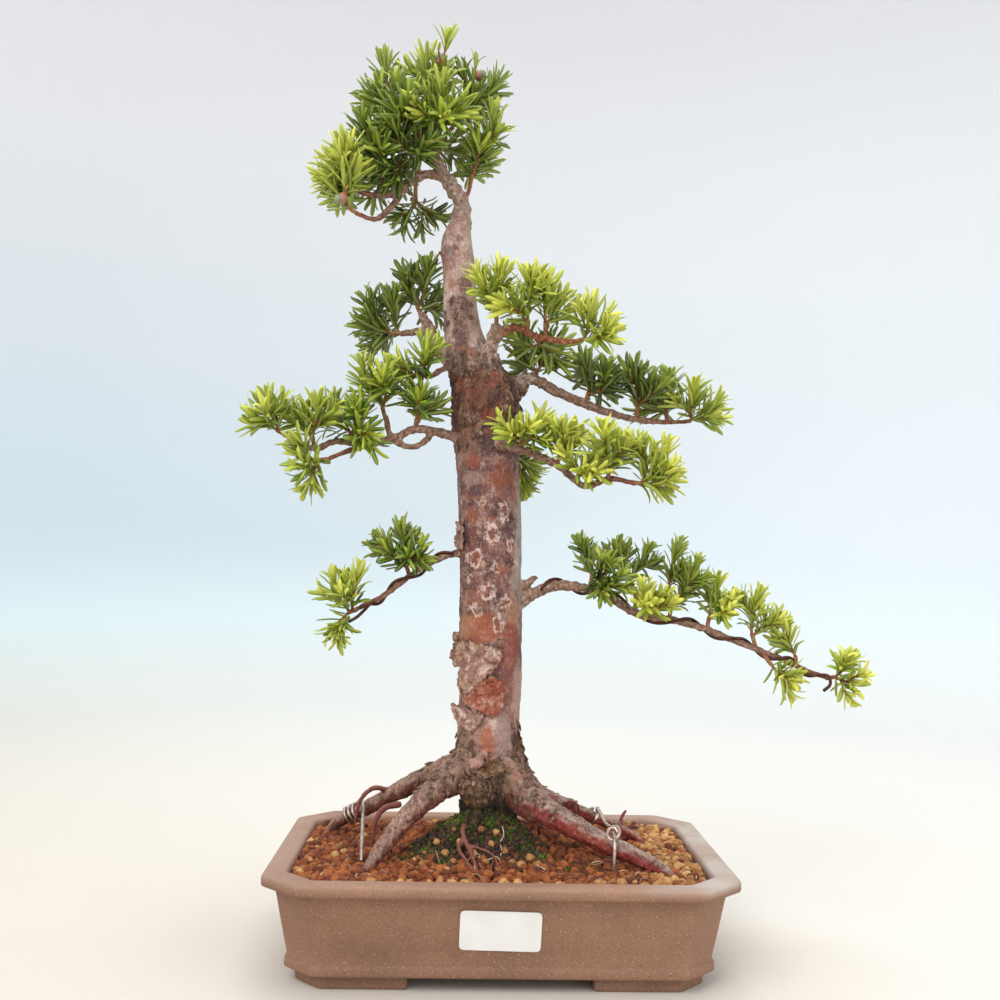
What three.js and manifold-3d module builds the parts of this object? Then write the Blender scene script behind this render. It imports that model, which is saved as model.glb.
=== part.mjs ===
// Japanese yew bonsai: an informal upright tree with long side branches, in a shallow
// unglazed clay pot with cut corners. Millimetres, +Z up. Everything is modelled about the
// middle of the pot's underside, with +X to the viewer's right and -Y towards the viewer.
// The last lines shift the tree so that the origin is under the middle of its whole box.

import * as THREE from 'three';
import { mergeVertices } from 'three/addons/utils/BufferGeometryUtils.js';
import Module from 'manifold-3d';

const wasm = await Module();
wasm.setup();

// Driving dimensions of the pot
const POT_LONG = 270;
const POT_DEEP = 185;
const POT_HIGH = 61.5;
const POT_CUT = 22;
const RIM_HIGH = 7;
const RIM_PROUD = 6.75;
const RIM_WIDE = 13;
const RIM_EDGE = 1.6;
const LIP_UNDER = 0.8;
const WALL_SLOPE = 7.75;
const BAND_PROUD = 1.6;
const BAND_HIGH = 6.5;
const FLOOR_TOP = 15;
const DRAIN_APART = 116;
const DRAIN_RADIUS = 11;
const MESH_SIZE = 34;
const MESH_THICK = 1.2;
const MESH_BAR = 2.4;

// Driving dimensions of the pot's feet: an angle at each corner
const FOOT_HIGH = 8;
const FOOT_INSET = 19;
const FOOT_CUT = 15;
const FOOT_THICK = 22;
const FOOT_INNER_CUT = 8;
const FOOT_GAP_FRONT = 104;
const FOOT_GAP_SIDE = 60;

// Driving dimensions of the soil
const SEAT_GAP = 0.3;
const SOIL_EDGE = 57;
const SOIL_MOUND = 20;
const MOUND_X = -8;
const MOUND_Y = -2;
const MOUND_RADIUS_X = 54;
const MOUND_RADIUS_Y = 36;
const GRAIN_RELIEF = 1.1;
const HOLE_ROOM = 0.6;

// Driving dimensions of the needles, twigs, wire and label
const NEEDLE_LONG = {
    crown: 18, upper_right: 17.5, right: 17, upper_left: 16.5, mid_left: 16.5, back: 16,
    mid_right: 15.5, low_left: 14, low_right: 13,
};
const NEEDLE_WIDE = 2.4;
const NEEDLE_THICK = 1;
const NEEDLE_BEND = 1.1;
const NEEDLE_WIDEST = 0.42;
const NEEDLES_PER_SHOOT = 5;
const LEAFY_LENGTH = 15;
const TWIG_RADIUS = 1.3;
const STEM_RADIUS = 1.1;
const BRANCH_WIRE_RADIUS = 1;
const GUY_WIRE_RADIUS = 0.9;
const WIRE_CLEAR = 0.4;
const LABEL_WIDE = 45;
const LABEL_HIGH = 23;
const LABEL_THICK = 0.5;
const LABEL_ROUND = 2.5;
const LABEL_TILT = -0.02;

// How finely each round thing is cut
const TRUNK_SIDES = 12;
const ROOT_SIDES = 6;
const LIMB_SIDES = 5;
const THICK_LIMB_SIDES = 6;
const STEM_SIDES = 3;
const WIRE_SIDES = 4;
const WIRE_STEPS = 7;
const SOIL_RINGS = 6;
const SOIL_SPACING = 27;

const COLOURS = {
    clay: 0x966f62,
    soil: 0x8a5230,
    bark: 0x8a6a62,
    needle: 0x7d9a2c,
    darkNeedle: 0x4c6b26,
    brownWire: 0x5a3d33,
    silverWire: 0xb4aaa0,
    label: 0xeceae6,
    mesh: 0x2c2f31,
};

// The trunk: centre line and radius from the root ball to the top, where the leader bends away
const TRUNK = [
    [-7, -3, 44, 17], [-7, -3, 80, 17.5], [-7, -3, 98, 19.5], [-8, -2, 116, 21], [-8, 0, 140, 20],
    [-8, 0, 180, 19.7], [-9, 0, 240, 19.7], [-12, 0, 300, 20.4],
    [-13, 0, 325, 21.8], [-16, 0, 343, 20.6], [-21, 0, 357, 17.4], [-27, 0, 371, 14], [-30, 0, 385, 12],
    [-32, 0, 402, 10.8], [-33, 0, 422, 10.2], [-35, 0, 440, 9.9], [-33, 0, 453, 7], [-32, 0, 464, 5.3],
];

// Everything woody that grows from the trunk: [x, y, z, radius] from its root inside the parent
const LIMBS = {
    leader: [[-32, 0, 459, 5.4], [-33, 0, 467, 5], [-38, -2, 475, 4.8], [-46, -4, 485, 4.1],
        [-50, -6, 495, 3.4], [-51, -8, 504, 2.8], [-54, -6, 517, 2.2], [-53, -6, 527, 1.7]],
    crownLeft: [[-42, -3, 482, 3.2], [-56, -9, 481, 2.8], [-68, -14, 472, 2.6], [-80, -18, 464, 2.2],
        [-95, -22, 464, 1.6]],
    crownFork: [[-66, -13, 474, 2.2], [-76, -18, 457, 2], [-85, -24, 447, 1.8], [-97, -29, 449, 1.4]],
    upperLeft: [[-28, 4, 360, 6], [-44, 8, 371, 4.2], [-53, 12, 390, 3.4], [-58, 15, 398, 2.2]],
    upperLeftArm: [[-50, 10, 385, 3], [-62, 14, 385, 2.5], [-71, 16, 384, 1.8]],
    midLeftTwig: [[-26, -3, 362, 4], [-34, -5, 362, 2.6], [-42, -10, 357, 2.1], [-49, -14, 352, 1.6]],
    midLeft: [[-24, -4, 310, 6], [-33, -6, 315, 3.4], [-46, -10, 318, 2.8], [-58, -13, 319, 2.6],
        [-70, -16, 313, 2.5], [-88, -20, 308, 2.3], [-106, -24, 309, 2.1], [-118, -27, 304, 2],
        [-129, -30, 308, 1.8], [-137, -32, 312, 1.4]],
    midLeftLoop: [[-47, -10, 317, 2.1], [-55, -13, 309, 2], [-64, -14, 308, 2], [-72, -16, 312, 2]],
    midLeftLow: [[-89, -20, 307, 1.9], [-99, -30, 302, 1.7], [-110, -39, 296, 1.4]],
    midLeftTop: [[-73, -16, 312, 2], [-76, -19, 326, 1.7]],
    upperRight: [[-17, -4, 345, 9], [-13, -11, 366, 5.6], [-9, -17, 385, 3]],
    upperRightArm: [[-11, -14, 377, 4], [2, -20, 383, 2.7], [15, -25, 377, 2.3], [33, -30, 373, 1.9],
        [42, -33, 373, 1.4]],
    right: [[-8, 0, 340, 12], [6, 1, 350, 6], [15, 3, 355, 3.7], [27, 5, 349, 3.3], [43, 8, 343, 3],
        [63, 11, 336, 2.6], [89, 13, 331, 2.1], [117, 16, 331, 1.4]],
    midRight: [[-12, -10, 316, 7], [-4, -21, 310, 3.2], [14, -30, 304, 2.6], [30, -37, 296, 2.3],
        [45, -44, 284, 2], [59, -51, 288, 1.9], [74, -57, 285, 1.4]],
    back: [[-8, 8, 326, 7], [-4, 24, 318, 3.6], [0, 38, 312, 2.6], [2, 50, 310, 1.6]],
    lowLeft: [[-18, 0, 243, 5], [-27, -2, 243, 2.6], [-41, -6, 239, 2.1], [-53, -10, 232, 2],
        [-65, -14, 223, 1.9], [-75, -18, 215, 1.8], [-85, -22, 210, 1.6], [-92, -25, 206, 1.4]],
    lowRight: [[0, 0, 206, 8], [9, -2, 212, 4.4], [17, -4, 217, 3.7], [28, -6, 223, 3.3],
        [47, -9, 223, 3], [65, -11, 217, 2.8], [81, -13, 208, 2.6], [109, -15, 203, 2.3],
        [127, -17, 198, 2.2], [145, -19, 191, 2], [172, -22, 181, 1.9], [188, -24, 174, 1.7],
        [199, -26, 171, 1.4]],
    deadStub: [[8, -2, 219, 4], [20, -5, 229, 1.6]],
    cutKnob: [[-11, -8, 105, 10], [-15, -29, 99, 9]],
};

// The surface roots, which leave the trunk's foot, lie over the soil and end inside it
const ROOTS = {
    frontLeft: [[-12, -5, 124, 11], [-24, -13, 111, 11], [-39, -21, 100, 8.5], [-54, -30, 87, 6.5],
        [-67, -40, 73, 5], [-75, -46, 62, 4], [-80, -50, 51, 3]],
    backLeft: [[-10, 2, 122, 11], [-29, 6, 110, 8], [-46, 13, 101, 6.5], [-64, 21, 90, 5.5],
        [-83, 29, 78, 4.8], [-101, 37, 68, 4], [-109, 42, 60, 3.2], [-112, 45, 51, 2.6]],
    frontRight: [[-4, -5, 122, 13], [8, -13, 103, 12], [20, -22, 92, 9.5], [36, -31, 85, 7.5],
        [57, -38, 75, 6], [80, -43, 66, 5], [95, -46, 59, 4], [102, -48, 51, 3]],
    backRight: [[2, 0, 112, 10], [16, 3, 98, 6.5], [30, 7, 90, 5], [52, 13, 80, 4], [74, 19, 70, 3.2],
        [90, 24, 61, 2.6], [96, 26, 52, 2]],
    rootlet: [[-16, -18, 82, 2.4], [-23, -34, 79, 1.6], [-19, -45, 70, 1.4], [-14, -53, 60, 1.3],
        [-12, -57, 50, 1.2]],
};

// Each spray: the woody twig that carries it, then its green shoots from the twig's end to
// their tips. Dark sprays are last year's needles, the others are this year's.
const SPRAYS = [
    ['crown_tip', 0, [[-53, -6, 522], [-52, -6, 532]],
        [[-56, -9, 543], [-58, -10, 555]], [[-47, -14, 546], [-44, -22, 562]],
        [[-50, 3, 544], [-49, 12, 554]]],
    ['crown_top_right', 1, [[-50, -7, 500], [-41, -4, 512], [-32, -3, 525]],
        [[-28, -2, 540], [-25, -2, 556]], [[-21, -6, 532], [-12, -8, 542]],
        [[-26, 7, 533], [-22, 16, 542]]],
    ['crown_top_left', 1, [[-51, -8, 503], [-65, -5, 511], [-75, -2, 522]],
        [[-81, 0, 538], [-84, 2, 556]], [[-83, -7, 525], [-93, -9, 531]]],
    ['crown_front', 0, [[-50, -8, 497], [-47, -16, 507], [-46, -22, 514]],
        [[-46, -28, 520], [-46, -30, 528]], [[-39, -28, 512], [-32, -30, 512]],
        [[-52, -31, 509], [-56, -38, 508]]],
    ['crown_front_left', 1, [[-49, -7, 491], [-58, -15, 500], [-63, -20, 508]],
        [[-69, -24, 519], [-74, -28, 531]], [[-67, -30, 508], [-72, -39, 508]]],
    ['crown_left', 1, [[-79, -18, 464], [-82, -15, 474], [-85, -14, 484]],
        [[-91, -16, 497], [-96, -18, 510]], [[-85, -24, 489], [-85, -32, 495]],
        [[-92, -6, 490], [-100, -1, 496]]],
    ['crown_left_end', 0, [[-93, -22, 464], [-98, -23, 466]],
        [[-103, -28, 478], [-106, -31, 491]], [[-108, -22, 474], [-115, -20, 483]],
        [[-105, -14, 470], [-111, -6, 474]]],
    ['crown_left_low', 0, [[-94, -28, 448], [-100, -30, 451]],
        [[-103, -33, 461], [-104, -35, 472]], [[-106, -26, 459], [-111, -22, 467]]],
    ['crown_right', 0, [[-32, 0, 464], [-28, -2, 474], [-26, -4, 485]],
        [[-21, -6, 496], [-16, -6, 506]], [[-18, -12, 503], [-14, -16, 518]],
        [[-22, 4, 492], [-17, 12, 497]]],
    ['crown_back', 1, [[-50, -6, 495], [-51, 6, 502], [-52, 16, 508]],
        [[-55, 25, 518], [-58, 29, 532]], [[-62, 24, 509], [-72, 28, 511]],
        [[-41, 24, 509], [-32, 28, 512]]],
    ['crown_back_left', 1, [[-66, -12, 474], [-71, 1, 480], [-76, 10, 486]],
        [[-84, 15, 496], [-90, 18, 508]], [[-78, 21, 491], [-78, 31, 495]],
        [[-87, 14, 482], [-98, 18, 480]]],
    ['crown_under', 1, [[-61, -10, 478], [-62, -2, 473], [-62, 5, 469]],
        [[-57, 11, 464], [-52, 17, 462]], [[-67, 12, 463], [-74, 16, 462]]],
    ['crown_heart', 1, [[-58, -10, 481], [-62, -17, 485], [-65, -23, 489]],
        [[-70, -29, 493], [-74, -34, 500]], [[-59, -30, 490], [-54, -35, 492]],
        [[-74, -25, 481], [-82, -29, 478]]],
    ['upper_left_top', 1, [[-57, 14, 396], [-60, 17, 402]],
        [[-64, 18, 412], [-65, 18, 423]], [[-55, 13, 414], [-53, 9, 427]],
        [[-50, 24, 406], [-44, 30, 412]]],
    ['upper_left_end', 1, [[-68, 16, 384], [-77, 18, 385]],
        [[-88, 22, 396], [-90, 24, 407]], [[-88, 20, 387], [-96, 18, 390]],
        [[-85, 26, 380], [-90, 31, 375]], [[-75, 16, 398], [-75, 14, 409]]],
    ['mid_left_end', 0, [[-134, -32, 311], [-140, -33, 314]],
        [[-145, -37, 318], [-151, -40, 321]], [[-142, -31, 323], [-146, -30, 333]]],
    ['mid_left_low', 0, [[-107, -37, 297], [-113, -41, 296]],
        [[-118, -44, 296], [-123, -46, 298]], [[-115, -46, 290], [-115, -50, 284]]],
    ['mid_left_up', 0, [[-118, -27, 304], [-119, -29, 311]],
        [[-117, -34, 319], [-116, -36, 330]], [[-126, -25, 318], [-134, -22, 328]]],
    ['mid_left_middle', 1, [[-96, -22, 308], [-97, -22, 315]],
        [[-106, -16, 322], [-108, -14, 333]], [[-93, -26, 321], [-91, -28, 332]],
        [[-90, -33, 315], [-86, -40, 312]]],
    ['mid_left_top', 0, [[-76, -19, 324], [-78, -21, 331]],
        [[-86, -27, 343], [-90, -30, 355]], [[-75, -28, 342], [-74, -31, 353]]],
    ['mid_left_knot', 0, [[-47, -12, 353], [-52, -15, 351]],
        [[-53, -18, 358], [-53, -19, 370]], [[-60, -22, 352], [-67, -27, 357]]],
    ['mid_left_near', 1, [[-58, -13, 319], [-57, -17, 325]],
        [[-56, -23, 331], [-55, -26, 339]], [[-51, -12, 330], [-45, -8, 334]]],
    ['upper_right_stub', 0, [[-9, -17, 383], [-9, -21, 391]],
        [[-9, -27, 403], [-7, -33, 415]], [[-14, -25, 402], [-20, -28, 412]]],
    ['upper_right_front', 0, [[10, -23, 379], [10, -27, 386]],
        [[10, -33, 398], [9, -39, 410]], [[4, -33, 390], [-4, -42, 391]]],
    ['upper_right_middle', 0, [[21, -27, 375], [21, -26, 386]],
        [[20, -28, 398], [20, -30, 410]], [[27, -21, 392], [32, -18, 402]]],
    ['upper_right_end', 0, [[39, -32, 373], [44, -34, 374]],
        [[47, -38, 383], [47, -40, 392]], [[51, -36, 375], [58, -38, 378]]],
    ['upper_right_low', 0, [[14, -25, 377], [17, -18, 375], [18, -12, 374]],
        [[12, -4, 374], [7, 2, 380]], [[26, -7, 372], [33, -2, 377]]],
    ['right_base', 1, [[18, 4, 354], [18, 6, 361]],
        [[9, 15, 368], [7, 20, 376]], [[24, 4, 369], [25, 2, 378]]],
    ['right_middle', 1, [[50, 9, 341], [52, 11, 348]],
        [[53, 18, 359], [50, 21, 371]], [[61, 2, 350], [62, -3, 360]],
        [[62, 17, 352], [71, 22, 356]]],
    ['right_stem', 1, [[84, 13, 332], [84, 11, 341]],
        [[83, 10, 353], [82, 10, 364]], [[91, 5, 346], [97, 0, 353]]],
    ['right_far', 1, [[104, 15, 331], [104, 18, 338]],
        [[106, 21, 349], [107, 22, 359]], [[100, 28, 341], [98, 36, 344]]],
    ['right_end', 0, [[114, 16, 331], [120, 16, 332]],
        [[119, 9, 341], [120, 6, 352]], [[128, 16, 337], [135, 16, 344]]],
    ['mid_right_base', 0, [[6, -26, 307], [7, -32, 310]],
        [[4, -38, 313], [1, -44, 314]], [[13, -37, 313], [18, -40, 319]]],
    ['mid_right_knot', 0, [[29, -37, 297], [30, -40, 302]],
        [[28, -44, 309], [27, -46, 316]], [[35, -43, 306], [40, -45, 311]]],
    ['mid_right_middle', 0, [[41, -42, 287], [41, -47, 290]],
        [[39, -52, 293], [36, -55, 298]], [[48, -53, 293], [55, -54, 297]]],
    ['mid_right_up', 0, [[58, -50, 287], [58, -55, 293]],
        [[56, -59, 304], [54, -61, 315]], [[64, -52, 301], [66, -48, 310]]],
    ['mid_right_end', 0, [[71, -56, 286], [77, -58, 285]],
        [[80, -55, 296], [78, -50, 309]], [[85, -61, 294], [90, -63, 306]],
        [[85, -60, 285], [93, -62, 287]]],
    ['back_near', 1, [[-2, 32, 315], [4, 36, 311]],
        [[12, 36, 304], [18, 35, 298]], [[10, 40, 298], [14, 42, 287]]],
    ['back_end', 1, [[1, 47, 310], [2, 54, 310]],
        [[4, 61, 317], [6, 66, 326]], [[10, 59, 307], [19, 64, 306]],
        [[-5, 61, 309], [-12, 68, 311]]],
    ['low_left_up', 1, [[-59, -12, 227], [-62, -10, 236]],
        [[-64, -8, 247], [-65, -7, 258]], [[-58, -17, 240], [-54, -22, 245]],
        [[-71, -12, 242], [-77, -14, 250]]],
    ['low_left_end', 0, [[-89, -24, 208], [-95, -26, 205]],
        [[-99, -29, 200], [-104, -31, 194]], [[-101, -23, 214], [-105, -22, 226]],
        [[-92, -30, 216], [-89, -32, 230]]],
    ['low_right_inner', 1, [[53, -10, 221], [54, -9, 230]],
        [[52, -2, 239], [51, 1, 248]], [[61, -17, 232], [63, -22, 238]],
        [[64, -24, 225], [72, -31, 223]]],
    ['low_right_back', 1, [[81, -13, 208], [82, -5, 219], [79, 1, 230]],
        [[74, 5, 240], [72, 6, 250]], [[86, 3, 238], [91, 2, 247]]],
    ['low_right_bright', 0, [[88, -14, 207], [88, -21, 209]],
        [[85, -28, 215], [84, -31, 224]], [[93, -28, 212], [99, -33, 215]]],
    ['low_right_twig', 1, [[102, -15, 204], [103, -12, 213]],
        [[103, -8, 230], [109, -6, 250]], [[112, -11, 219], [114, -9, 230]],
        [[113, -18, 227], [117, -22, 240]]],
    ['low_right_middle', 0, [[125, -17, 199], [127, -13, 206]],
        [[131, -8, 217], [134, -6, 229]], [[133, -19, 210], [137, -27, 217]]],
    ['low_right_far', 0, [[155, -20, 187], [152, -20, 197]],
        [[152, -20, 210], [156, -20, 221]], [[161, -16, 203], [168, -13, 208]]],
    ['low_right_hang', 0, [[158, -20, 186], [162, -28, 179]],
        [[168, -33, 170], [172, -35, 163]]],
    ['low_right_rise', 0, [[179, -23, 178], [178, -24, 184]],
        [[175, -24, 190], [174, -24, 198]]],
    ['low_right_tip', 0, [[196, -26, 171], [202, -26, 172]],
        [[206, -27, 176], [210, -28, 182]], [[206, -32, 170], [209, -37, 168]]],
];

// The three seed cones: which spray carries each, its middle and the way it points
const CONES = [
    ['crown_tip', [-47, -17, 552], [-0.5, -0.4, 1]],
    ['crown_top_right', [-22.6, -3, 549], [0.8, -0.3, 0.4]],
    ['crown_left_low', [-105, -33.5, 456.5], [-0.9, -0.3, -0.2]],
];
const CONE_PROFILE = [[0, -3.6], [2.6, -2.2], [3.1, 0.4], [2.2, 2.6], [0, 3.9]];

// What a needle tries in turn where it would meet another: turned, leaned, then shorter
const NEEDLE_TRIES = [
    [0, 0, 1], [0.3, 0, 1], [-0.3, 0, 1], [0.5, -12, 0.97], [-0.5, -12, 0.97], [0, -20, 0.95],
    [0.6, 12, 0.92], [-0.6, 12, 0.92], [0, 14, 0.85],
];

// Seeded random numbers, the same in every run, with a seed of its own for each spray
const SPRAY_SEED = 100;
let seed = 20;
function random() {
    seed = (seed * 1664525 + 1013904223) % 4294967296;
    return seed / 4294967296;
}

const vector = (p) => new THREE.Vector3(p[0], p[1], p[2]);

// A manifold solid from a closed geometry
function solid(geometry) {
    const bare = geometry.clone();
    bare.deleteAttribute('normal');
    bare.deleteAttribute('uv');
    const merged = mergeVertices(bare, 1e-4);
    const index = merged.index.array;
    const triangles = [];
    for (let i = 0; i < index.length; i += 3) {
        const [a, b, c] = [index[i], index[i + 1], index[i + 2]];
        if (a !== b && b !== c && c !== a) {
            triangles.push(a, b, c);
        }
    }
    return new wasm.Manifold(new wasm.Mesh({
        numProp: 3,
        vertProperties: new Float32Array(merged.attributes.position.array),
        triVerts: new Uint32Array(triangles),
    }));
}

// The largest of a solid's separate pieces, so that no loose scrap stays
function largest(body) {
    return body.decompose().reduce((best, piece) => (piece.volume() > best.volume() ? piece : best));
}

function geometryOf(body) {
    const mesh = body.getMesh();
    const geometry = new THREE.BufferGeometry();
    const count = mesh.vertProperties.length / mesh.numProp;
    const positions = new Float32Array(count * 3);
    for (let i = 0; i < count; i += 1) {
        for (let k = 0; k < 3; k += 1) {
            positions[i * 3 + k] = mesh.vertProperties[i * mesh.numProp + k];
        }
    }
    geometry.setAttribute('position', new THREE.BufferAttribute(positions, 3));
    geometry.setIndex(new THREE.BufferAttribute(new Uint32Array(mesh.triVerts), 1));
    geometry.computeVertexNormals();
    return geometry;
}

const model = new THREE.Group();

function addPart(name, geometry, colour, roughness, metalness = 0) {
    const material = new THREE.MeshStandardMaterial({ color: colour, roughness, metalness });
    const mesh = new THREE.Mesh(geometry, material);
    mesh.name = name;
    model.add(mesh);
}

// A closed tapered tube through points of [x, y, z, radius], with a ring at each point
function limb(points, sides, grow = 0) {
    const steps = points.length - 1;
    const curve = new THREE.CatmullRomCurve3(points.map(vector), false, 'centripetal');
    const frames = framesAlong(curve, steps);
    const geometry = new THREE.CylinderGeometry(1, 1, 1, sides, steps);
    const position = geometry.attributes.position;
    for (let i = 0; i < position.count; i += 1) {
        const step = Math.round((position.getY(i) + 0.5) * steps);
        const t = step / steps;
        const centre = curve.getPoint(t);
        const radius = radiusAt(points, t) + grow;
        centre.addScaledVector(frames.normals[step], position.getX(i) * radius);
        centre.addScaledVector(frames.binormals[step], -position.getZ(i) * radius);
        position.setXYZ(i, centre.x, centre.y, centre.z);
    }
    return geometry;
}

// Frames that turn with the curve at even values of its parameter, so each meets a ring
function framesAlong(curve, steps) {
    const tangents = [];
    const normals = [];
    const binormals = [];
    for (let i = 0; i <= steps; i += 1) {
        tangents.push(curve.getTangent(i / steps));
        const across = i === 0 ? leastAxis(tangents[0]) : normals[i - 1].clone();
        across.addScaledVector(tangents[i], -across.dot(tangents[i])).normalize();
        normals.push(across);
        binormals.push(new THREE.Vector3().crossVectors(tangents[i], across));
    }
    return { tangents, normals, binormals };
}

function leastAxis(way) {
    const [x, y, z] = way.toArray().map(Math.abs);
    return new THREE.Vector3(x <= y && x <= z ? 1 : 0, y < x && y <= z ? 1 : 0, z < x && z < y ? 1 : 0);
}

function radiusAt(points, t) {
    const place = t * (points.length - 1);
    const low = Math.min(Math.floor(place), points.length - 2);
    return THREE.MathUtils.lerp(points[low][3], points[low + 1][3], place - low);
}

// The point at t on the straight stretches between a limb's rings
function pointAt(points, t) {
    const place = t * (points.length - 1);
    const low = Math.min(Math.floor(place), points.length - 2);
    return vector(points[low]).lerp(vector(points[low + 1]), place - low);
}

function lengthOf(points) {
    return points.slice(1).reduce((sum, p, i) => sum + vector(p).distanceTo(vector(points[i])), 0);
}

// The straight stretches of everything woody, and how far a point is from their surface
const woodStretches = [];

function noteWood(points) {
    points.slice(1).forEach((end, i) => woodStretches.push([points[i], end]));
}

function distanceToWood(point) {
    return Math.min(...woodStretches.map(([from, to]) => distanceToStretch(point, from, to)));
}

function distanceToStretch(point, from, to) {
    const start = vector(from);
    const way = vector(to).sub(start);
    const long = way.length();
    way.divideScalar(long);
    const along = point.clone().sub(start).dot(way);
    const inside = THREE.MathUtils.clamp(along, 0, long);
    const radius = THREE.MathUtils.lerp(from[3], to[3], inside / long);
    const aside = point.distanceTo(start.addScaledVector(way, along)) - radius;
    const past = Math.abs(along - inside);
    return past === 0 ? aside : Math.hypot(past, Math.max(aside, 0));
}

// Room taken up so far by stems, needles and wire, as balls, so that needles can be set clear
const balls = [];
const BALL_SPACING = 1.2;

function takeRoom(owner, points) {
    const count = Math.ceil(lengthOf(points) / BALL_SPACING);
    for (let i = 0; i <= count; i += 1) {
        balls.push({ owner, centre: pointAt(points, i / count), radius: radiusAt(points, i / count) });
    }
}

// A ring of eight corners: a rectangle with its corners cut off
function cutRectangle(long, deep, cut, z) {
    const x = long / 2;
    const y = deep / 2;
    return [[x, -y + cut, z], [x, y - cut, z], [x - cut, y, z], [-x + cut, y, z],
        [-x, y - cut, z], [-x, -y + cut, z], [-x + cut, -y, z], [x - cut, -y, z]];
}

// The pot's outline at a height, set in from its greatest one
function potRing(inset, z) {
    const cut = Math.max(POT_CUT - 0.35 * inset, 14);
    return cutRectangle(POT_LONG - 2 * inset, POT_DEEP - 2 * inset, cut, z);
}

// A closed solid through rings of equal count, capped flat at both ends
function loft(rings) {
    const count = rings[0].length;
    const first = new THREE.Vector3();
    const last = new THREE.Vector3();
    rings[0].forEach((p) => first.add(vector(p).divideScalar(count)));
    rings[rings.length - 1].forEach((p) => last.add(vector(p).divideScalar(count)));
    const positions = [...rings.flat(2), ...first.toArray(), ...last.toArray()];
    const index = [];
    const top = (rings.length - 1) * count;
    for (let i = 0; i < count; i += 1) {
        const next = (i + 1) % count;
        for (let k = 0; k < rings.length - 1; k += 1) {
            const low = k * count;
            const high = low + count;
            index.push(low + i, low + next, high + next, low + i, high + next, high + i);
        }
        index.push(rings.length * count, next, i);
        index.push(rings.length * count + 1, top + i, top + next);
    }
    const geometry = new THREE.BufferGeometry();
    geometry.setAttribute('position', new THREE.Float32BufferAttribute(positions, 3));
    geometry.setIndex(index);
    return geometry;
}

// The pot: one fired clay piece with a foot band, a lipped rim, four feet and two drain holes
function makePot() {
    const underRim = POT_HIGH - RIM_HIGH;
    const wallFoot = RIM_PROUD + WALL_SLOPE;
    let pot = solid(loft([
        potRing(wallFoot + 3, FOOT_HIGH),
        potRing(wallFoot - BAND_PROUD, FOOT_HIGH + 1.2),
        potRing(wallFoot - BAND_PROUD, FOOT_HIGH + BAND_HIGH - 1.5),
        potRing(wallFoot, FOOT_HIGH + BAND_HIGH),
        potRing(RIM_PROUD, underRim - LIP_UNDER),
        potRing(1, underRim),
        potRing(0, underRim + 1.4),
        potRing(0, POT_HIGH - RIM_EDGE),
        potRing(RIM_EDGE, POT_HIGH),
        potRing(RIM_WIDE, POT_HIGH),
        potRing(RIM_WIDE + 2, POT_HIGH - 2),
        potRing(RIM_WIDE + 6, FLOOR_TOP),
    ]));
    for (const sideX of [-1, 1]) {
        for (const sideY of [-1, 1]) {
            pot = pot.add(solid(makeFoot(sideX, sideY)));
        }
        const drain = new THREE.CylinderGeometry(DRAIN_RADIUS, DRAIN_RADIUS, FLOOR_TOP * 2, 14);
        drain.rotateX(Math.PI / 2);
        drain.translate(sideX * DRAIN_APART / 2, 0, FLOOR_TOP);
        pot = pot.subtract(solid(drain));
    }
    return geometryOf(pot);
}

// A corner foot: an angle that follows the pot's cut corner, open inside
function makeFoot(sideX, sideY) {
    const x = POT_LONG / 2 - FOOT_INSET;
    const y = POT_DEEP / 2 - FOOT_INSET;
    const innerX = x - FOOT_THICK;
    const innerY = y - FOOT_THICK;
    const shape = new THREE.Shape([
        new THREE.Vector2(x, FOOT_GAP_SIDE / 2),
        new THREE.Vector2(x, y - FOOT_CUT),
        new THREE.Vector2(x - FOOT_CUT, y),
        new THREE.Vector2(FOOT_GAP_FRONT / 2, y),
        new THREE.Vector2(FOOT_GAP_FRONT / 2, innerY),
        new THREE.Vector2(innerX - FOOT_INNER_CUT, innerY),
        new THREE.Vector2(innerX, innerY - FOOT_INNER_CUT),
        new THREE.Vector2(innerX, FOOT_GAP_SIDE / 2),
    ]);
    const foot = new THREE.ExtrudeGeometry(shape, { depth: FOOT_HIGH + 1, bevelEnabled: false });
    if (sideX * sideY < 0) {
        foot.scale(-1, 1, 1);
        flipFaces(foot);
    }
    if (sideY < 0) {
        foot.rotateZ(Math.PI);
    }
    return foot;
}

function flipFaces(geometry) {
    const position = geometry.attributes.position;
    for (let i = 0; i < position.count; i += 3) {
        const a = new THREE.Vector3().fromBufferAttribute(position, i + 1);
        const b = new THREE.Vector3().fromBufferAttribute(position, i + 2);
        position.setXYZ(i + 1, b.x, b.y, b.z);
        position.setXYZ(i + 2, a.x, a.y, a.z);
    }
}

// A square of plastic mesh over each drain hole
function makeDrainMesh(side) {
    let plate = solid(new THREE.BoxGeometry(MESH_SIZE, MESH_SIZE, MESH_THICK));
    const pitch = MESH_SIZE / 2;
    for (const x of [-pitch / 2, pitch / 2]) {
        for (const y of [-pitch / 2, pitch / 2]) {
            const hole = new THREE.BoxGeometry(pitch - MESH_BAR, pitch - MESH_BAR, MESH_THICK * 2);
            hole.translate(x, y, 0);
            plate = plate.subtract(solid(hole));
        }
    }
    const geometry = geometryOf(plate);
    geometry.translate(side * DRAIN_APART / 2, 0, FLOOR_TOP + SEAT_GAP + MESH_THICK / 2);
    return geometry;
}

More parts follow.
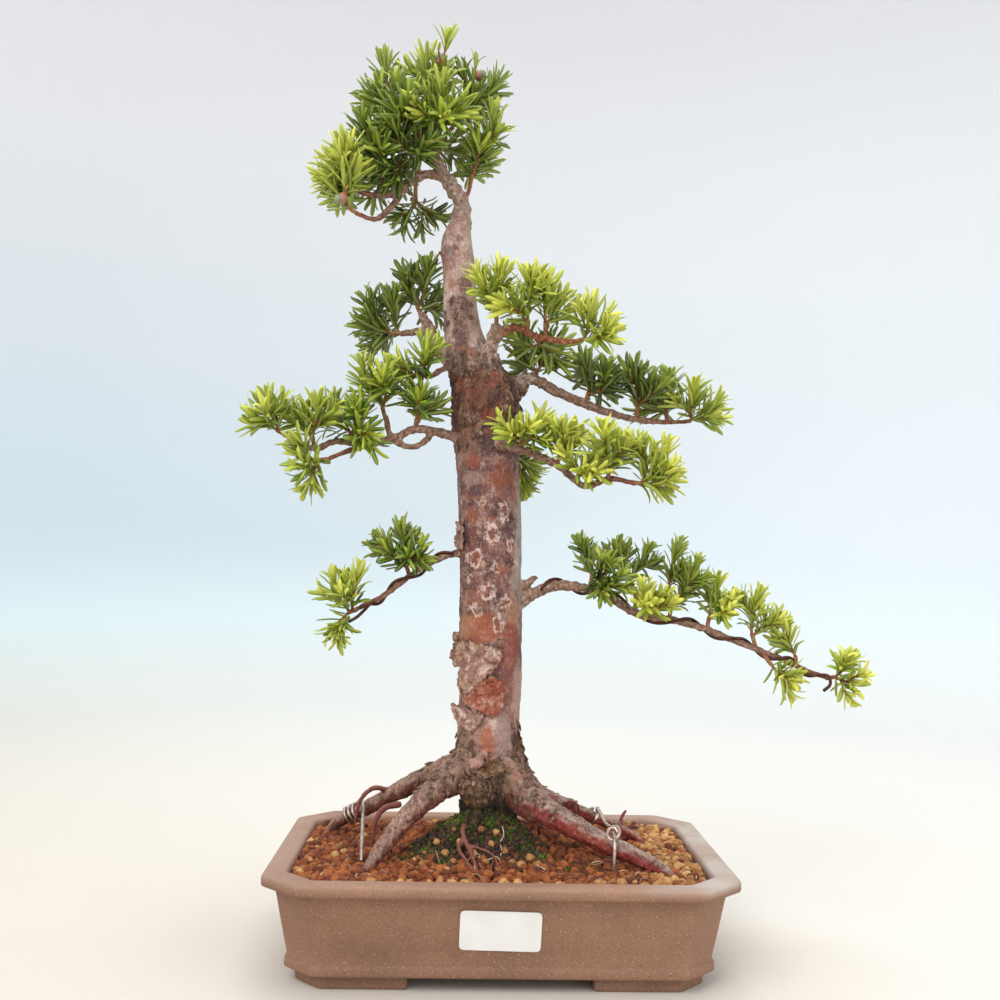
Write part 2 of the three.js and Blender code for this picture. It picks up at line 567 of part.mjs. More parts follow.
// The soil: rings of points out to the pot's inner wall, mounded under the trunk, with the
// relief of its grains, and plain holes where roots and guy wires go in
function makeSoil(buried) {
    const outline = soilOutline(RIM_WIDE + 2.8);
    const rings = [soilOutline(RIM_WIDE + 6.6).map(([x, y]) => [x, y, FLOOR_TOP + SEAT_GAP])];
    rings.push(outline.map(([x, y]) => onSoil(x, y, 0)));
    for (let k = SOIL_RINGS - 1; k > 0; k -= 1) {
        rings.push(outline.map(([x, y], i) => {
            const share = (k - (i % 2) / 2) / SOIL_RINGS;
            return onSoil(x * share, y * share, GRAIN_RELIEF);
        }));
    }
    let soil = solid(loft(rings));
    for (const geometry of buried) {
        soil = soil.subtract(solid(geometry));
    }
    return geometryOf(largest(soil));
}

function soilOutline(inset) {
    const corners = potRing(inset, 0);
    const points = [];
    corners.forEach((corner, i) => {
        const next = corners[(i + 1) % corners.length];
        const length = Math.hypot(next[0] - corner[0], next[1] - corner[1]);
        const parts = Math.max(Math.round(length / SOIL_SPACING), 2);
        for (let k = 0; k < parts; k += 1) {
            points.push([corner[0] + (next[0] - corner[0]) * k / parts,
                corner[1] + (next[1] - corner[1]) * k / parts]);
        }
    });
    return points;
}

function onSoil(x, y, relief) {
    const away = ((x - MOUND_X) / MOUND_RADIUS_X) ** 2 + ((y - MOUND_Y) / MOUND_RADIUS_Y) ** 2;
    return [x, y, SOIL_EDGE + SOIL_MOUND * Math.exp(-away) + relief * (2 * random() - 1)];
}

// The room that a root, the trunk or a wire needs in the soil, a little wider and deeper
function plainHole(points, sides) {
    const last = vector(points[points.length - 1]);
    const way = last.clone().sub(vector(points[points.length - 2])).normalize();
    const deeper = [...last.addScaledVector(way, HOLE_ROOM).toArray(), points[points.length - 1][3]];
    return limb([...points.slice(0, -1), deeper], sides, HOLE_ROOM);
}

// The wood: trunk, roots, limbs and twigs, grown as one
function makeWood() {
    let wood = solid(limb(TRUNK, TRUNK_SIDES));
    noteWood(TRUNK);
    for (const points of Object.values(ROOTS)) {
        wood = wood.add(solid(limb(points, rootSides(points))));
    }
    for (const points of Object.values(LIMBS)) {
        wood = wood.add(solid(limb(points, limbSides(points))));
        noteWood(points);
    }
    return geometryOf(largest(wood));
}

function rootSides(points) {
    return points[0][3] > 5 ? ROOT_SIDES : LIMB_SIDES - 1;
}

function limbSides(points) {
    return points[0][3] > 7.5 ? THICK_LIMB_SIDES : LIMB_SIDES;
}

// Wire wound round a branch: it crosses the branch's front at each of the given x places
function windWire(branch, crossings, wireRadius) {
    const points = [];
    for (let k = 0; k <= (crossings.length - 1) * WIRE_STEPS; k += 1) {
        const turn = Math.min(Math.floor(k / WIRE_STEPS), crossings.length - 2);
        const part = k / WIRE_STEPS - turn;
        const x = THREE.MathUtils.lerp(crossings[turn], crossings[turn + 1], part);
        const t = placeAtX(branch, x);
        const tangent = wayAt(branch, t);
        const front = new THREE.Vector3(0, -1, 0);
        front.addScaledVector(tangent, -front.dot(tangent)).normalize();
        const up = new THREE.Vector3().crossVectors(front, tangent);
        if (up.z < 0) {
            up.negate();
        }
        const angle = 2 * Math.PI * part;
        const reach = (radiusAt(branch, t) + wireRadius + WIRE_CLEAR) * 1.06;
        const centre = pointAt(branch, t);
        centre.addScaledVector(front, Math.cos(angle) * reach);
        centre.addScaledVector(up, Math.sin(angle) * reach);
        points.push([...centre.toArray(), wireRadius]);
    }
    return points;
}

// The way a limb runs at t, smoothed over its bends
function wayAt(points, t) {
    const before = pointAt(points, Math.max(t - 0.04, 0));
    return pointAt(points, Math.min(t + 0.04, 1)).sub(before).normalize();
}

function placeAtX(points, x) {
    const rightwards = points[points.length - 1][0] > points[0][0];
    let low = 0;
    let high = 1;
    for (let i = 0; i < 24; i += 1) {
        const middle = (low + high) / 2;
        if ((pointAt(points, middle).x < x) === rightwards) {
            low = middle;
        } else {
            high = middle;
        }
    }
    return low;
}

// Guy wires that hold the surface roots down: a few coils round a root, then into the soil
function coilRound(root, fromX, toX, turns, wireRadius) {
    const points = [];
    const count = turns * WIRE_STEPS;
    for (let k = 0; k <= count; k += 1) {
        const t = placeAtX(root, THREE.MathUtils.lerp(fromX, toX, k / count));
        const tangent = wayAt(root, t);
        const up = new THREE.Vector3(0, 0, 1);
        up.addScaledVector(tangent, -up.dot(tangent)).normalize();
        const side = new THREE.Vector3().crossVectors(up, tangent);
        const reach = (radiusAt(root, t) + wireRadius + WIRE_CLEAR) * 1.08;
        const angle = 2 * Math.PI * k / WIRE_STEPS;
        const centre = pointAt(root, t);
        centre.addScaledVector(up, Math.cos(angle) * reach);
        centre.addScaledVector(side, Math.sin(angle) * reach);
        points.push([...centre.toArray(), wireRadius]);
    }
    return points;
}

const BRANCH_WIRES = {
    wire_low_left: windWire(LIMBS.lowLeft, [-33, -61, -84], BRANCH_WIRE_RADIUS),
    wire_low_right: windWire(LIMBS.lowRight, [23, 56, 106, 139, 169, 191], BRANCH_WIRE_RADIUS),
};
const GUY_LEFT = [
    ...coilRound(ROOTS.backLeft, -97, -89, 3, GUY_WIRE_RADIUS),
    [-87, 22, 82, GUY_WIRE_RADIUS], [-85, 0, 74, GUY_WIRE_RADIUS], [-83, -26, 66, GUY_WIRE_RADIUS],
    [-82, -38, 59, GUY_WIRE_RADIUS], [-82, -40, 50, GUY_WIRE_RADIUS],
];
const GUY_RIGHT = [
    ...coilRound(ROOTS.backRight, 58, 61, 1, GUY_WIRE_RADIUS),
    [62, 6, 84, GUY_WIRE_RADIUS], [64, -18, 80, GUY_WIRE_RADIUS], [66, -34, 80.5, GUY_WIRE_RADIUS],
    [66, -45, 78, GUY_WIRE_RADIUS], [65.5, -49.5, 70, GUY_WIRE_RADIUS],
    [65, -50, 60, GUY_WIRE_RADIUS], [65, -50, 50, GUY_WIRE_RADIUS],
];

// Sprays: a slim forked stem that starts just off the wood, with needles all round each shoot
// and out past its tip
function twigPoints(twig) {
    const way = vector(twig[1]).sub(vector(twig[0])).normalize();
    const start = vector(twig[0]);
    const { normals, binormals } = framesAlong(new THREE.LineCurve3(start, vector(twig[1])), 1);
    const rim = [[0, 0], [0, -1], [0.866, 0.5], [-0.866, 0.5], [0, 0.5], [0.433, -0.25], [-0.433, -0.25]];
    const nearest = () => Math.min(...rim.map(([u, v]) => distanceToWood(start.clone()
        .addScaledVector(normals[0], u * TWIG_RADIUS).addScaledVector(binormals[0], v * TWIG_RADIUS))));
    while (nearest() < SEAT_GAP + 0.05) {
        start.addScaledVector(way, 0.05);
    }
    const points = [start.toArray(), ...twig.slice(1)];
    const taper = (i) => THREE.MathUtils.lerp(TWIG_RADIUS, STEM_RADIUS, i / (twig.length - 1));
    return points.map((p, i) => [...p, taper(i)]);
}

// The first shoot carries the twig on in one stem. The others start inside the twig, each a
// little further back from its end
function stemPaths(twig, shoots) {
    const base = twigPoints(twig);
    const end = base[base.length - 1];
    const before = base[base.length - 2];
    return shoots.map(([bend, tip], i) => {
        const rings = [[...bend, STEM_RADIUS], [...tip, STEM_RADIUS * 0.75]];
        if (i === 0) {
            return [...base, ...rings];
        }
        const start = vector(end).lerp(vector(before), 0.22 * i);
        return [[...start.toArray(), STEM_RADIUS * 0.8], ...rings];
    });
}

// One needle: a flat spindle with three sides, its root sunk in the stem, keel below. A lathe
// with three sides of radius 1 is sqrt(3) wide and 1.5 thick
function needleGeometry(needle) {
    const profile = [[0, 0], [1, NEEDLE_WIDEST], [0, 1]].map(([r, h]) => new THREE.Vector2(r, h));
    const geometry = new THREE.LatheGeometry(profile, 3);
    const side = new THREE.Vector3().crossVectors(needle.way, needle.top);
    const position = geometry.attributes.position;
    for (let i = 0; i < position.count; i += 1) {
        const across = -position.getX(i) / Math.sqrt(3) * NEEDLE_WIDE;
        const above = -position.getZ(i) / 1.5 * NEEDLE_THICK;
        const along = position.getY(i);
        const place = needle.root.clone().addScaledVector(needle.way, along * needle.long);
        place.addScaledVector(side, across);
        place.addScaledVector(needle.top, above + bendAt(along));
        position.setXYZ(i, place.x, place.y, place.z);
    }
    return geometry;
}

function bendAt(along) {
    return NEEDLE_BEND * 4 * along * (1 - along);
}

function needleBalls(needle) {
    const points = [];
    for (let k = 1; k <= 12; k += 1) {
        const along = k / 12;
        const wide = Math.min(along / NEEDLE_WIDEST, (1 - along) / (1 - NEEDLE_WIDEST));
        const centre = needle.root.clone().addScaledVector(needle.way, along * needle.long);
        centre.addScaledVector(needle.top, bendAt(along));
        points.push({ centre, radius: 0.25 + wide * NEEDLE_WIDE / 2, along });
    }
    return points;
}

function isClear(owner, points) {
    return points.every((point) => {
        if (distanceToWood(point.centre) < point.radius + 0.4) {
            return false;
        }
        return balls.every((ball) => {
            const own = ball.owner === owner;
            const room = ball.radius + point.radius + (own ? -0.3 : 0.45);
            return (own && point.along < 0.3)
                || ball.centre.distanceToSquared(point.centre) > room * room;
        });
    });
}

// Needles along one shoot: each leaves near the middle of one of the stem's faces, those at
// the base lean far out and those at the tip lie close to the stem's own direction
function setNeedles(name, shoot) {
    const curve = new THREE.CatmullRomCurve3(shoot.map(vector), false, 'centripetal');
    const frames = framesAlong(curve, shoot.length - 1);
    const tipLength = lengthOf(shoot.slice(-2));
    const leafy = Math.min(LEAFY_LENGTH, tipLength * 0.92);
    const firstFace = Math.floor(random() * STEM_SIDES);
    const long = NEEDLE_LONG[Object.keys(NEEDLE_LONG).find((branch) => name.startsWith(branch))];
    const needles = [];
    for (let i = 0; i < NEEDLES_PER_SHOOT; i += 1) {
        const part = (i + 0.5) / NEEDLES_PER_SHOOT;
        const share = 1 - leafy * (1 - part) / tipLength;
        const face = 2 * Math.PI / STEM_SIDES * (i + firstFace + 0.5) - Math.PI / 2;
        for (const [turn, lean, shrink] of NEEDLE_TRIES) {
            const angle = face + turn + 0.7 * (random() - 0.5);
            const tilt = THREE.MathUtils.degToRad(60 - 40 * part ** 1.3 + lean);
            const needle = placeNeedle(shoot, frames, share, angle, tilt, long * shrink);
            const points = needleBalls(needle);
            if (isClear(name, points)) {
                needles.push(needle);
                points.forEach(({ centre, radius }) => balls.push({ owner: name, centre, radius }));
                break;
            }
        }
    }
    return needles;
}

function placeNeedle(shoot, frames, share, angle, tilt, long) {
    const last = shoot.length - 1;
    const from = vector(shoot[last - 1]);
    const to = vector(shoot[last]);
    const stem = to.clone().sub(from).normalize();
    const normal = frames.normals[last - 1].clone().lerp(frames.normals[last], share);
    const binormal = frames.binormals[last - 1].clone().lerp(frames.binormals[last], share);
    const outwards = normal.multiplyScalar(Math.cos(angle)).addScaledVector(binormal, Math.sin(angle));
    outwards.addScaledVector(stem, -outwards.dot(stem)).normalize();
    const way = stem.clone().multiplyScalar(Math.cos(tilt)).addScaledVector(outwards, Math.sin(tilt));
    const top = stem.clone().addScaledVector(way, -stem.dot(way)).normalize();
    const root = from.lerp(to, share).addScaledVector(outwards, -0.15);
    return { root, way, top, long: long * (0.94 + 0.12 * random()) };
}

function coneGeometry(middle, way) {
    const profile = CONE_PROFILE.map(([r, h]) => new THREE.Vector2(r, h));
    const geometry = new THREE.LatheGeometry(profile, 6);
    const turn = new THREE.Quaternion().setFromUnitVectors(
        new THREE.Vector3(0, 1, 0), vector(way).normalize());
    geometry.applyQuaternion(turn);
    geometry.translate(...middle);
    return geometry;
}

// The blank label stuck on the middle of the pot's front wall, tilted as the wall is
function makeLabel() {
    const x = LABEL_WIDE / 2;
    const y = LABEL_HIGH / 2;
    const shape = new THREE.Shape();
    shape.moveTo(-x + LABEL_ROUND, -y);
    shape.lineTo(x - LABEL_ROUND, -y);
    shape.quadraticCurveTo(x, -y, x, -y + LABEL_ROUND);
    shape.lineTo(x, y - LABEL_ROUND);
    shape.quadraticCurveTo(x, y, x - LABEL_ROUND, y);
    shape.lineTo(-x + LABEL_ROUND, y);
    shape.quadraticCurveTo(-x, y, -x, y - LABEL_ROUND);
    shape.lineTo(-x, -y + LABEL_ROUND);
    shape.quadraticCurveTo(-x, -y, -x + LABEL_ROUND, -y);
    const geometry = new THREE.ExtrudeGeometry(
        shape, { depth: LABEL_THICK, bevelEnabled: false, curveSegments: 2 });
    const wallLow = FOOT_HIGH + BAND_HIGH;
    const wallHigh = POT_HIGH - RIM_HIGH - LIP_UNDER - wallLow;
    const upWall = 0.54;
    const wallY = POT_DEEP / 2 - RIM_PROUD - WALL_SLOPE * (1 - upWall);
    geometry.rotateZ(LABEL_TILT);
    geometry.rotateX(Math.PI / 2 + Math.atan2(WALL_SLOPE, wallHigh));
    geometry.translate(-1, -(wallY + SEAT_GAP + 0.05), wallLow + wallHigh * upWall);
    return geometry;
}

// Assembly: pot and drain meshes, wood, soil cut clear of what stands in it, wires, sprays
addPart('pot', makePot(), COLOURS.clay, 0.8);
addPart('drain_mesh_left', makeDrainMesh(-1), COLOURS.mesh, 0.6);
addPart('drain_mesh_right', makeDrainMesh(1), COLOURS.mesh, 0.6);
addPart('wood', makeWood(), COLOURS.bark, 0.85);

const buried = [plainHole(TRUNK.slice(0, 4).reverse(), TRUNK_SIDES)];
for (const points of Object.values(ROOTS)) {
    buried.push(plainHole(points, rootSides(points)));
}
for (const points of [GUY_LEFT, GUY_RIGHT]) {
    buried.push(plainHole(points.slice(-3), WIRE_SIDES));
}
for (const side of [-1, 1]) {
    const pocket = new THREE.BoxGeometry(MESH_SIZE + 0.6, MESH_SIZE + 0.6, 2 * (MESH_THICK + 0.6));
    pocket.translate(side * DRAIN_APART / 2, 0, FLOOR_TOP + SEAT_GAP);
    buried.push(pocket);
}
addPart('soil', makeSoil(buried), COLOURS.soil, 0.95);

for (const [name, points] of Object.entries(BRANCH_WIRES)) {
    addPart(name, limb(points, WIRE_SIDES), COLOURS.brownWire, 0.5, 0.6);
    takeRoom(name, points);
}
addPart('guy_wire_left', limb(GUY_LEFT, WIRE_SIDES), COLOURS.silverWire, 0.4, 0.8);
addPart('guy_wire_right', limb(GUY_RIGHT, WIRE_SIDES), COLOURS.silverWire, 0.4, 0.8);
addPart('label', makeLabel(), COLOURS.label, 0.5);

const stems = new Map();
for (const [name, , twig, ...shoots] of SPRAYS) {
    stems.set(name, stemPaths(twig, shoots));
    stems.get(name).forEach((path) => takeRoom(name, path));
}
for (const [owner, middle] of CONES) {
    balls.push({ owner, centre: vector(middle), radius: 3.6 });
}
SPRAYS.forEach(([name, dark], i) => {
    seed = SPRAY_SEED + i;
    const paths = stems.get(name);
    let spray = solid(limb(paths[0], STEM_SIDES));
    for (const path of paths.slice(1)) {
        spray = spray.add(solid(limb(path, STEM_SIDES)));
    }
    for (const [owner, place, way] of CONES) {
        spray = owner === name ? spray.add(solid(coneGeometry(place, way))) : spray;
    }
    for (const needle of paths.flatMap((path) => setNeedles(name, path))) {
        spray = spray.add(solid(needleGeometry(needle)));
    }
    addPart(name, geometryOf(largest(spray)), dark ? COLOURS.darkNeedle : COLOURS.needle, 0.6);
});

// The origin goes under the middle of the whole tree's box
const box = new THREE.Box3().setFromObject(model);
const middle = box.getCenter(new THREE.Vector3());
model.position.set(-middle.x, -middle.y, -box.min.z);
model.updateMatrixWorld(true);

export default model;
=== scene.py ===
# Japanese yew bonsai in its clay training pot. The sizes below are real millimetres about the
# middle of the pot's underside: x to the viewer's right, y away from the viewer, z up.
import math
import random
import bmesh
import bpy
import numpy as np
from mathutils import Matrix, Vector, noise


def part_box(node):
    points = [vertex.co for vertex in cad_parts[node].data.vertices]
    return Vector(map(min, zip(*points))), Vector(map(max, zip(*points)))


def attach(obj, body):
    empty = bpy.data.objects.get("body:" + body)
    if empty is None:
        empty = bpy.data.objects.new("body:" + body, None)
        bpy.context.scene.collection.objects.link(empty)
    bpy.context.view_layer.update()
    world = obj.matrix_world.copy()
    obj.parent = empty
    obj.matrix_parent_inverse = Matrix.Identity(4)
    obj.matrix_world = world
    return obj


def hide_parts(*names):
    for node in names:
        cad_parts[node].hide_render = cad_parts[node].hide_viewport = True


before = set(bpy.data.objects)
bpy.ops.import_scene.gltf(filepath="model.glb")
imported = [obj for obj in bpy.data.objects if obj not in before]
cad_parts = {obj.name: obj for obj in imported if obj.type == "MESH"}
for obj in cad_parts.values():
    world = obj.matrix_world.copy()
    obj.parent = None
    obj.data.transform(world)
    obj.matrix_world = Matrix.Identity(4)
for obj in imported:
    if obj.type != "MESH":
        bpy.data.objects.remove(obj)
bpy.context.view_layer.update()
pot_low, pot_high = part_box("pot")
POT_MIDDLE = Vector(((pot_low.x + pot_high.x) / 2, (pot_low.y + pot_high.y) / 2, pot_low.z))
MM = 0.001


# The camera stands in front of the pot, a little lower than the trunk's middle, and looks
# slightly up. Its place and turn were found from the pot's corners.
CAMERA_PLACE = (-24.7, -716.8, 239.35)
CAMERA_YAW = 0.029
CAMERA_PITCH = 0.052
CAMERA_ROLL = 0.021
CAMERA_LENS = 40.9
CAMERA_SENSOR = 36


def place(point):
    return Vector(point) * MM + POT_MIDDLE


def look_matrix(location, yaw, pitch, roll):
    forward = Vector((math.sin(yaw) * math.cos(pitch), math.cos(yaw) * math.cos(pitch), math.sin(pitch)))
    level = Vector((math.cos(yaw), -math.sin(yaw), 0))
    upright = level.cross(forward)
    right = math.cos(roll) * level + math.sin(roll) * upright
    up = -math.sin(roll) * level + math.cos(roll) * upright
    turn = Matrix((right, up, -forward)).transposed()
    return Matrix.Translation(location) @ turn.to_4x4()


lens = bpy.data.cameras.new("camera")
lens.lens = CAMERA_LENS
lens.sensor_width = CAMERA_SENSOR
lens.clip_start = 0.01
camera = bpy.data.objects.new("camera", lens)
camera.matrix_world = look_matrix(place(CAMERA_PLACE), CAMERA_YAW, CAMERA_PITCH, CAMERA_ROLL)
bpy.context.scene.collection.objects.link(camera)
bpy.context.scene.camera = camera


# The studio: a pale floor that sweeps up into a pale cove all round, and large soft lights,
# the strongest above and a little to the left of the camera.
COVE_FLAT = 1100
COVE_BEND = 900
COVE_WALL = 2400
COVE_SIDES = 96
COVE_BEND_STEPS = 12
# Share of the cove's height, and its colour there
COVE_SHADES = [
    (0.0, "#c6bbab"), (0.075, "#d1d2cb"), (0.145, "#cedddf"), (0.21, "#c8d7dd"), (0.38, "#d1dbe1"),
    (0.6, "#dde0e3"), (0.95, "#f3eef1"),
]
COVE_BRIGHT = "#f6f8f8"
# Each light: name, place, size and watts
LIGHTS = [
    ("key", (-900, -1250, 1500), 1300, 25.7),
    ("fill", (1250, -1000, 800), 1400, 8.6),
    ("over", (100, 150, 1700), 1100, 16.0),
    ("behind", (-300, 1100, 1100), 1200, 3.7),
]
LIGHTS_AIM = (0, 0, 250)
SKY_COLOUR = "#eef2f8"
SKY_LIGHT = 0.45


def linear(code):
    channels = [int(code[i:i + 2], 16) / 255 for i in (1, 3, 5)]
    return (*[c / 12.92 if c <= 0.04045 else ((c + 0.055) / 1.055) ** 2.4 for c in channels], 1)


def new_material(name):
    material = bpy.data.materials.new(name)
    material.use_nodes = True
    tree = material.node_tree
    return material, tree, tree.nodes["Principled BSDF"]


def connect(node, inputs):
    # Each input is linked to another node's output, or set to a value of its own
    for socket, value in inputs.items():
        if isinstance(value, bpy.types.NodeSocket):
            node.id_data.links.new(value, node.inputs[socket])
        else:
            node.inputs[socket].default_value = value


def add(tree, kind, inputs=(), out=0, stops=(), **settings):
    made = tree.nodes.new("ShaderNode" + kind)
    for key, value in settings.items():
        setattr(made, key, value)
    connect(made, dict(inputs))
    if stops:
        while len(made.color_ramp.elements) < len(stops):
            made.color_ramp.elements.new(1)
        for element, (position, colour) in zip(made.color_ramp.elements, stops):
            element.position = position
            element.color = linear(colour)
    return made.outputs[out]


def new_mesh(name, points, faces, smooth=True):
    mesh = bpy.data.meshes.new(name)
    flat = np.asarray(points, float).reshape(-1, 3) * MM + np.array(POT_MIDDLE)
    mesh.from_pydata(flat.tolist(), [], faces)
    mesh.polygons.foreach_set("use_smooth", [smooth] * len(mesh.polygons))
    mesh.validate()
    return mesh


def new_piece(name, mesh, *materials):
    piece = bpy.data.objects.new(name, mesh)
    bpy.context.scene.collection.objects.link(piece)
    for material in materials:
        mesh.materials.append(material)
    return piece


def painted_cove():
    # Painted plaster: matt, warm on the floor, pale blue where it bends up, nearly white above
    material, tree, shader = new_material("painted plaster cove")
    at = add(tree, "TexCoord", out="Object")
    axes = add(tree, "SeparateXYZ", {"Vector": at}).node.outputs
    behind = add(tree, "MapRange", {"Value": axes["Y"], "From Max": 1.1, "To Max": 0.13})
    share = add(tree, "Math", {0: axes["Z"], 1: behind}, operation="ADD")
    share = add(tree, "MapRange", {"Value": share, "From Max": 1.75})
    colour = add(tree, "ValToRGB", {"Fac": share}, stops=COVE_SHADES)
    right = add(tree, "MapRange", {"Value": axes["X"], "From Min": -0.9, "From Max": 0.8, "To Max": 0.5})
    colour = add(tree, "MixRGB", {"Fac": right, "Color1": colour, "Color2": linear(COVE_BRIGHT)})
    connect(shader, {"Base Color": colour, "Roughness": 0.9, "Specular IOR Level": 0.2})
    return material


def cove_mesh():
    profile = [(r, 0) for r in (150, 500, COVE_FLAT)]
    for i in range(1, COVE_BEND_STEPS + 1):
        angle = math.pi / 2 * i / COVE_BEND_STEPS
        profile.append((COVE_FLAT + COVE_BEND * math.sin(angle), COVE_BEND * (1 - math.cos(angle))))
    profile.append((COVE_FLAT + COVE_BEND, COVE_WALL))
    points = [(0, 0, 0)]
    for r, z in profile:
        for i in range(COVE_SIDES):
            angle = 2 * math.pi * i / COVE_SIDES
            points.append((r * math.cos(angle), r * math.sin(angle), z))
    faces = [(0, 1 + i, 1 + (i + 1) % COVE_SIDES) for i in range(COVE_SIDES)]
    for k in range(len(profile) - 1):
        low = 1 + k * COVE_SIDES
        high = low + COVE_SIDES
        for i in range(COVE_SIDES):
            j = (i + 1) % COVE_SIDES
            faces.append((low + i, high + i, high + j, low + j))
    return new_mesh("cove", points, faces)


cove = new_piece("cove", cove_mesh(), painted_cove())
for name, position, size, power in LIGHTS:
    lamp = bpy.data.lights.new(name, "AREA")
    lamp.size = size * MM
    lamp.energy = power
    light = bpy.data.objects.new(name, lamp)
    light.location = place(position)
    light.rotation_euler = (place(LIGHTS_AIM) - light.location).to_track_quat("-Z", "Y").to_euler()
    bpy.context.scene.collection.objects.link(light)
sky = bpy.data.worlds.new("sky")
sky.use_nodes = True
connect(sky.node_tree.nodes["Background"], {"Color": linear(SKY_COLOUR), "Strength": SKY_LIGHT})
bpy.context.scene.world = sky
bpy.context.scene.view_settings.view_transform = "Standard"


# The pot: unglazed brown stoneware, pressed in a mould and fired in one piece, with a lipped
# rim, a foot band, four corner feet and two drain holes. Its edges are rounded by hand.
POT_LONG = 270
POT_DEEP = 185
POT_HIGH = 61.5
POT_CUT = 22
POT_CUT_TAPER = 0.35
POT_CUT_LEAST = 14
POT_CORNER_SOFT = 2.2
RIM_HIGH = 7
RIM_PROUD = 6.75
RIM_WIDE = 13
WALL_SLOPE = 7.75
BAND_PROUD = 1.6
FLOOR_TOP = 15
DRAIN_APART = 116
DRAIN_RADIUS = 11
FOOT_HIGH = 8
FOOT_INSET = 19
FOOT_CUT = 15
FOOT_THICK = 22
FOOT_INNER_CUT = 8
FOOT_MIDDLE = 24
FOOT_CORNER_SOFT = 1.6
FOOT_GAP_FRONT = 104
FOOT_GAP_SIDE = 60
FOOT_SUNK = 1.5
# How far a foot's edge is rounded in at each height near the ground
FOOT_ROUNDING = [(1.2, 0), (0.4, 0.4), (0, 1.3)]
DRAIN_SIDES = 32
CLAY = "#87624c"
CLAY_DARK = "#745340"
CLAY_WARM = "#956e57"
CLAY_PALE_GROG = "#d8c9bd"
CLAY_DARK_GROG = "#4a352f"
# The colour of the painted highlight on the rim's top
CLAY_RIM_HIGHLIGHT = "#b7937b"
CLAY_BLOOM = "#b7aca3"


def softened(corners, radius):
    # Rounds each corner of an outline with a short curve of four points
    count = len(corners)
    points = []
    for i, corner in enumerate(corners):
        here = Vector(corner)
        before = Vector(corners[i - 1])
        after = Vector(corners[(i + 1) % count])
        start = here + (before - here).normalized() * radius
        end = here + (after - here).normalized() * radius
        for t in (0, 0.33, 0.67, 1):
            points.append(start.lerp(here, t).lerp(here.lerp(end, t), t))
    return points


def cut_rectangle(long, deep, cut):
    x = long / 2
    y = deep / 2
    return [(x, -y + cut), (x, y - cut), (x - cut, y), (-x + cut, y),
            (-x, y - cut), (-x, -y + cut), (-x + cut, -y), (x - cut, -y)]


def pot_ring(inset, z):
    cut = max(POT_CUT - POT_CUT_TAPER * inset, POT_CUT_LEAST)
    outline = cut_rectangle(POT_LONG - 2 * inset, POT_DEEP - 2 * inset, cut)
    return [(p.x, p.y, z) for p in softened(outline, POT_CORNER_SOFT)]


def lofted(rings):
    # A closed skin through rings of equal count, capped at both ends
    count = len(rings[0])
    points = [p for ring in rings for p in ring]
    faces = [tuple(reversed(range(count)))]
    for k in range(len(rings) - 1):
        low = k * count
        for i in range(count):
            j = (i + 1) % count
            faces.append((low + i, low + j, low + count + j, low + count + i))
    top = (len(rings) - 1) * count
    faces.append(tuple(range(top, top + count)))
    return points, faces


def combined(body, other, operation):
    # Fuses another object to a body or cuts it out, and removes it
    change = body.modifiers.new("cut", "BOOLEAN")
    change.object = other
    change.operation = operation
    change.solver = "EXACT"
    graph = bpy.context.evaluated_depsgraph_get()
    result = bpy.data.meshes.new_from_object(body.evaluated_get(graph))
    body.modifiers.clear()
    body.data = result
    bpy.data.objects.remove(other)


def foot_points(side_x, side_y):
    x = POT_LONG / 2 - FOOT_INSET
    y = POT_DEEP / 2 - FOOT_INSET
    inner_x = x - FOOT_THICK
    inner_y = y - FOOT_THICK
    corners = [(x, FOOT_GAP_SIDE / 2), (x, y - FOOT_CUT), (x - FOOT_CUT, y), (FOOT_GAP_FRONT / 2, y),
               (FOOT_GAP_FRONT / 2, inner_y), (inner_x - FOOT_INNER_CUT, inner_y),
               (inner_x, inner_y - FOOT_INNER_CUT), (inner_x, FOOT_GAP_SIDE / 2)]
    turned = [(side_x * px, side_y * py) for px, py in corners]
    if side_x * side_y < 0:
        turned.reverse()
    outline = softened(turned, FOOT_CORNER_SOFT)
    middle = Vector((side_x * (x - FOOT_MIDDLE), side_y * (y - FOOT_MIDDLE)))
    rings = []
    for shrink, z in (*FOOT_ROUNDING, (0, FOOT_HIGH + FOOT_SUNK)):
        rings.append([(*(p - (p - middle).normalized() * shrink), z) for p in outline])
    return lofted(rings)


def pot_mesh():
    # Rings from under the body, up its wall, over the rim and down inside: inset and height
    under = POT_HIGH - RIM_HIGH
    foot = RIM_PROUD + WALL_SLOPE
    low = FOOT_HIGH
    profile = [
        (foot + 3, low), (foot - 0.7, low + 0.2), (foot - BAND_PROUD + 0.2, low + 0.8),
        (foot - BAND_PROUD, low + 1.6), (foot - BAND_PROUD, low + 4.6),
        (foot - BAND_PROUD + 0.3, low + 5.5), (foot - 0.4, low + 6.1), (foot - 0.1, low + 7),
        (foot - 2.0, low + 16.5), (foot - 4.0, low + 27), (foot - 6.0, low + 38),
        (RIM_PROUD + 0.4, under - 1.8), (RIM_PROUD - 0.5, under - 0.9), (RIM_PROUD - 2.5, under - 0.5),
        (1.4, under - 0.1), (0.4, under + 0.5), (0, under + 1.6), (0, POT_HIGH - 2.2),
        (0.3, POT_HIGH - 1.1), (1.1, POT_HIGH - 0.3), (2.6, POT_HIGH), (7, POT_HIGH - 0.15),
        (RIM_WIDE - 1.6, POT_HIGH - 0.2), (RIM_WIDE - 0.4, POT_HIGH - 0.6),
        (RIM_WIDE + 0.3, POT_HIGH - 1.5), (RIM_WIDE + 1, POT_HIGH - 4), (RIM_WIDE + 2.2, 48),
        (RIM_WIDE + 5.5, FLOOR_TOP + 2), (RIM_WIDE + 7, FLOOR_TOP),
    ]
    return new_mesh("pot", *lofted([pot_ring(inset, z) for inset, z in profile]))


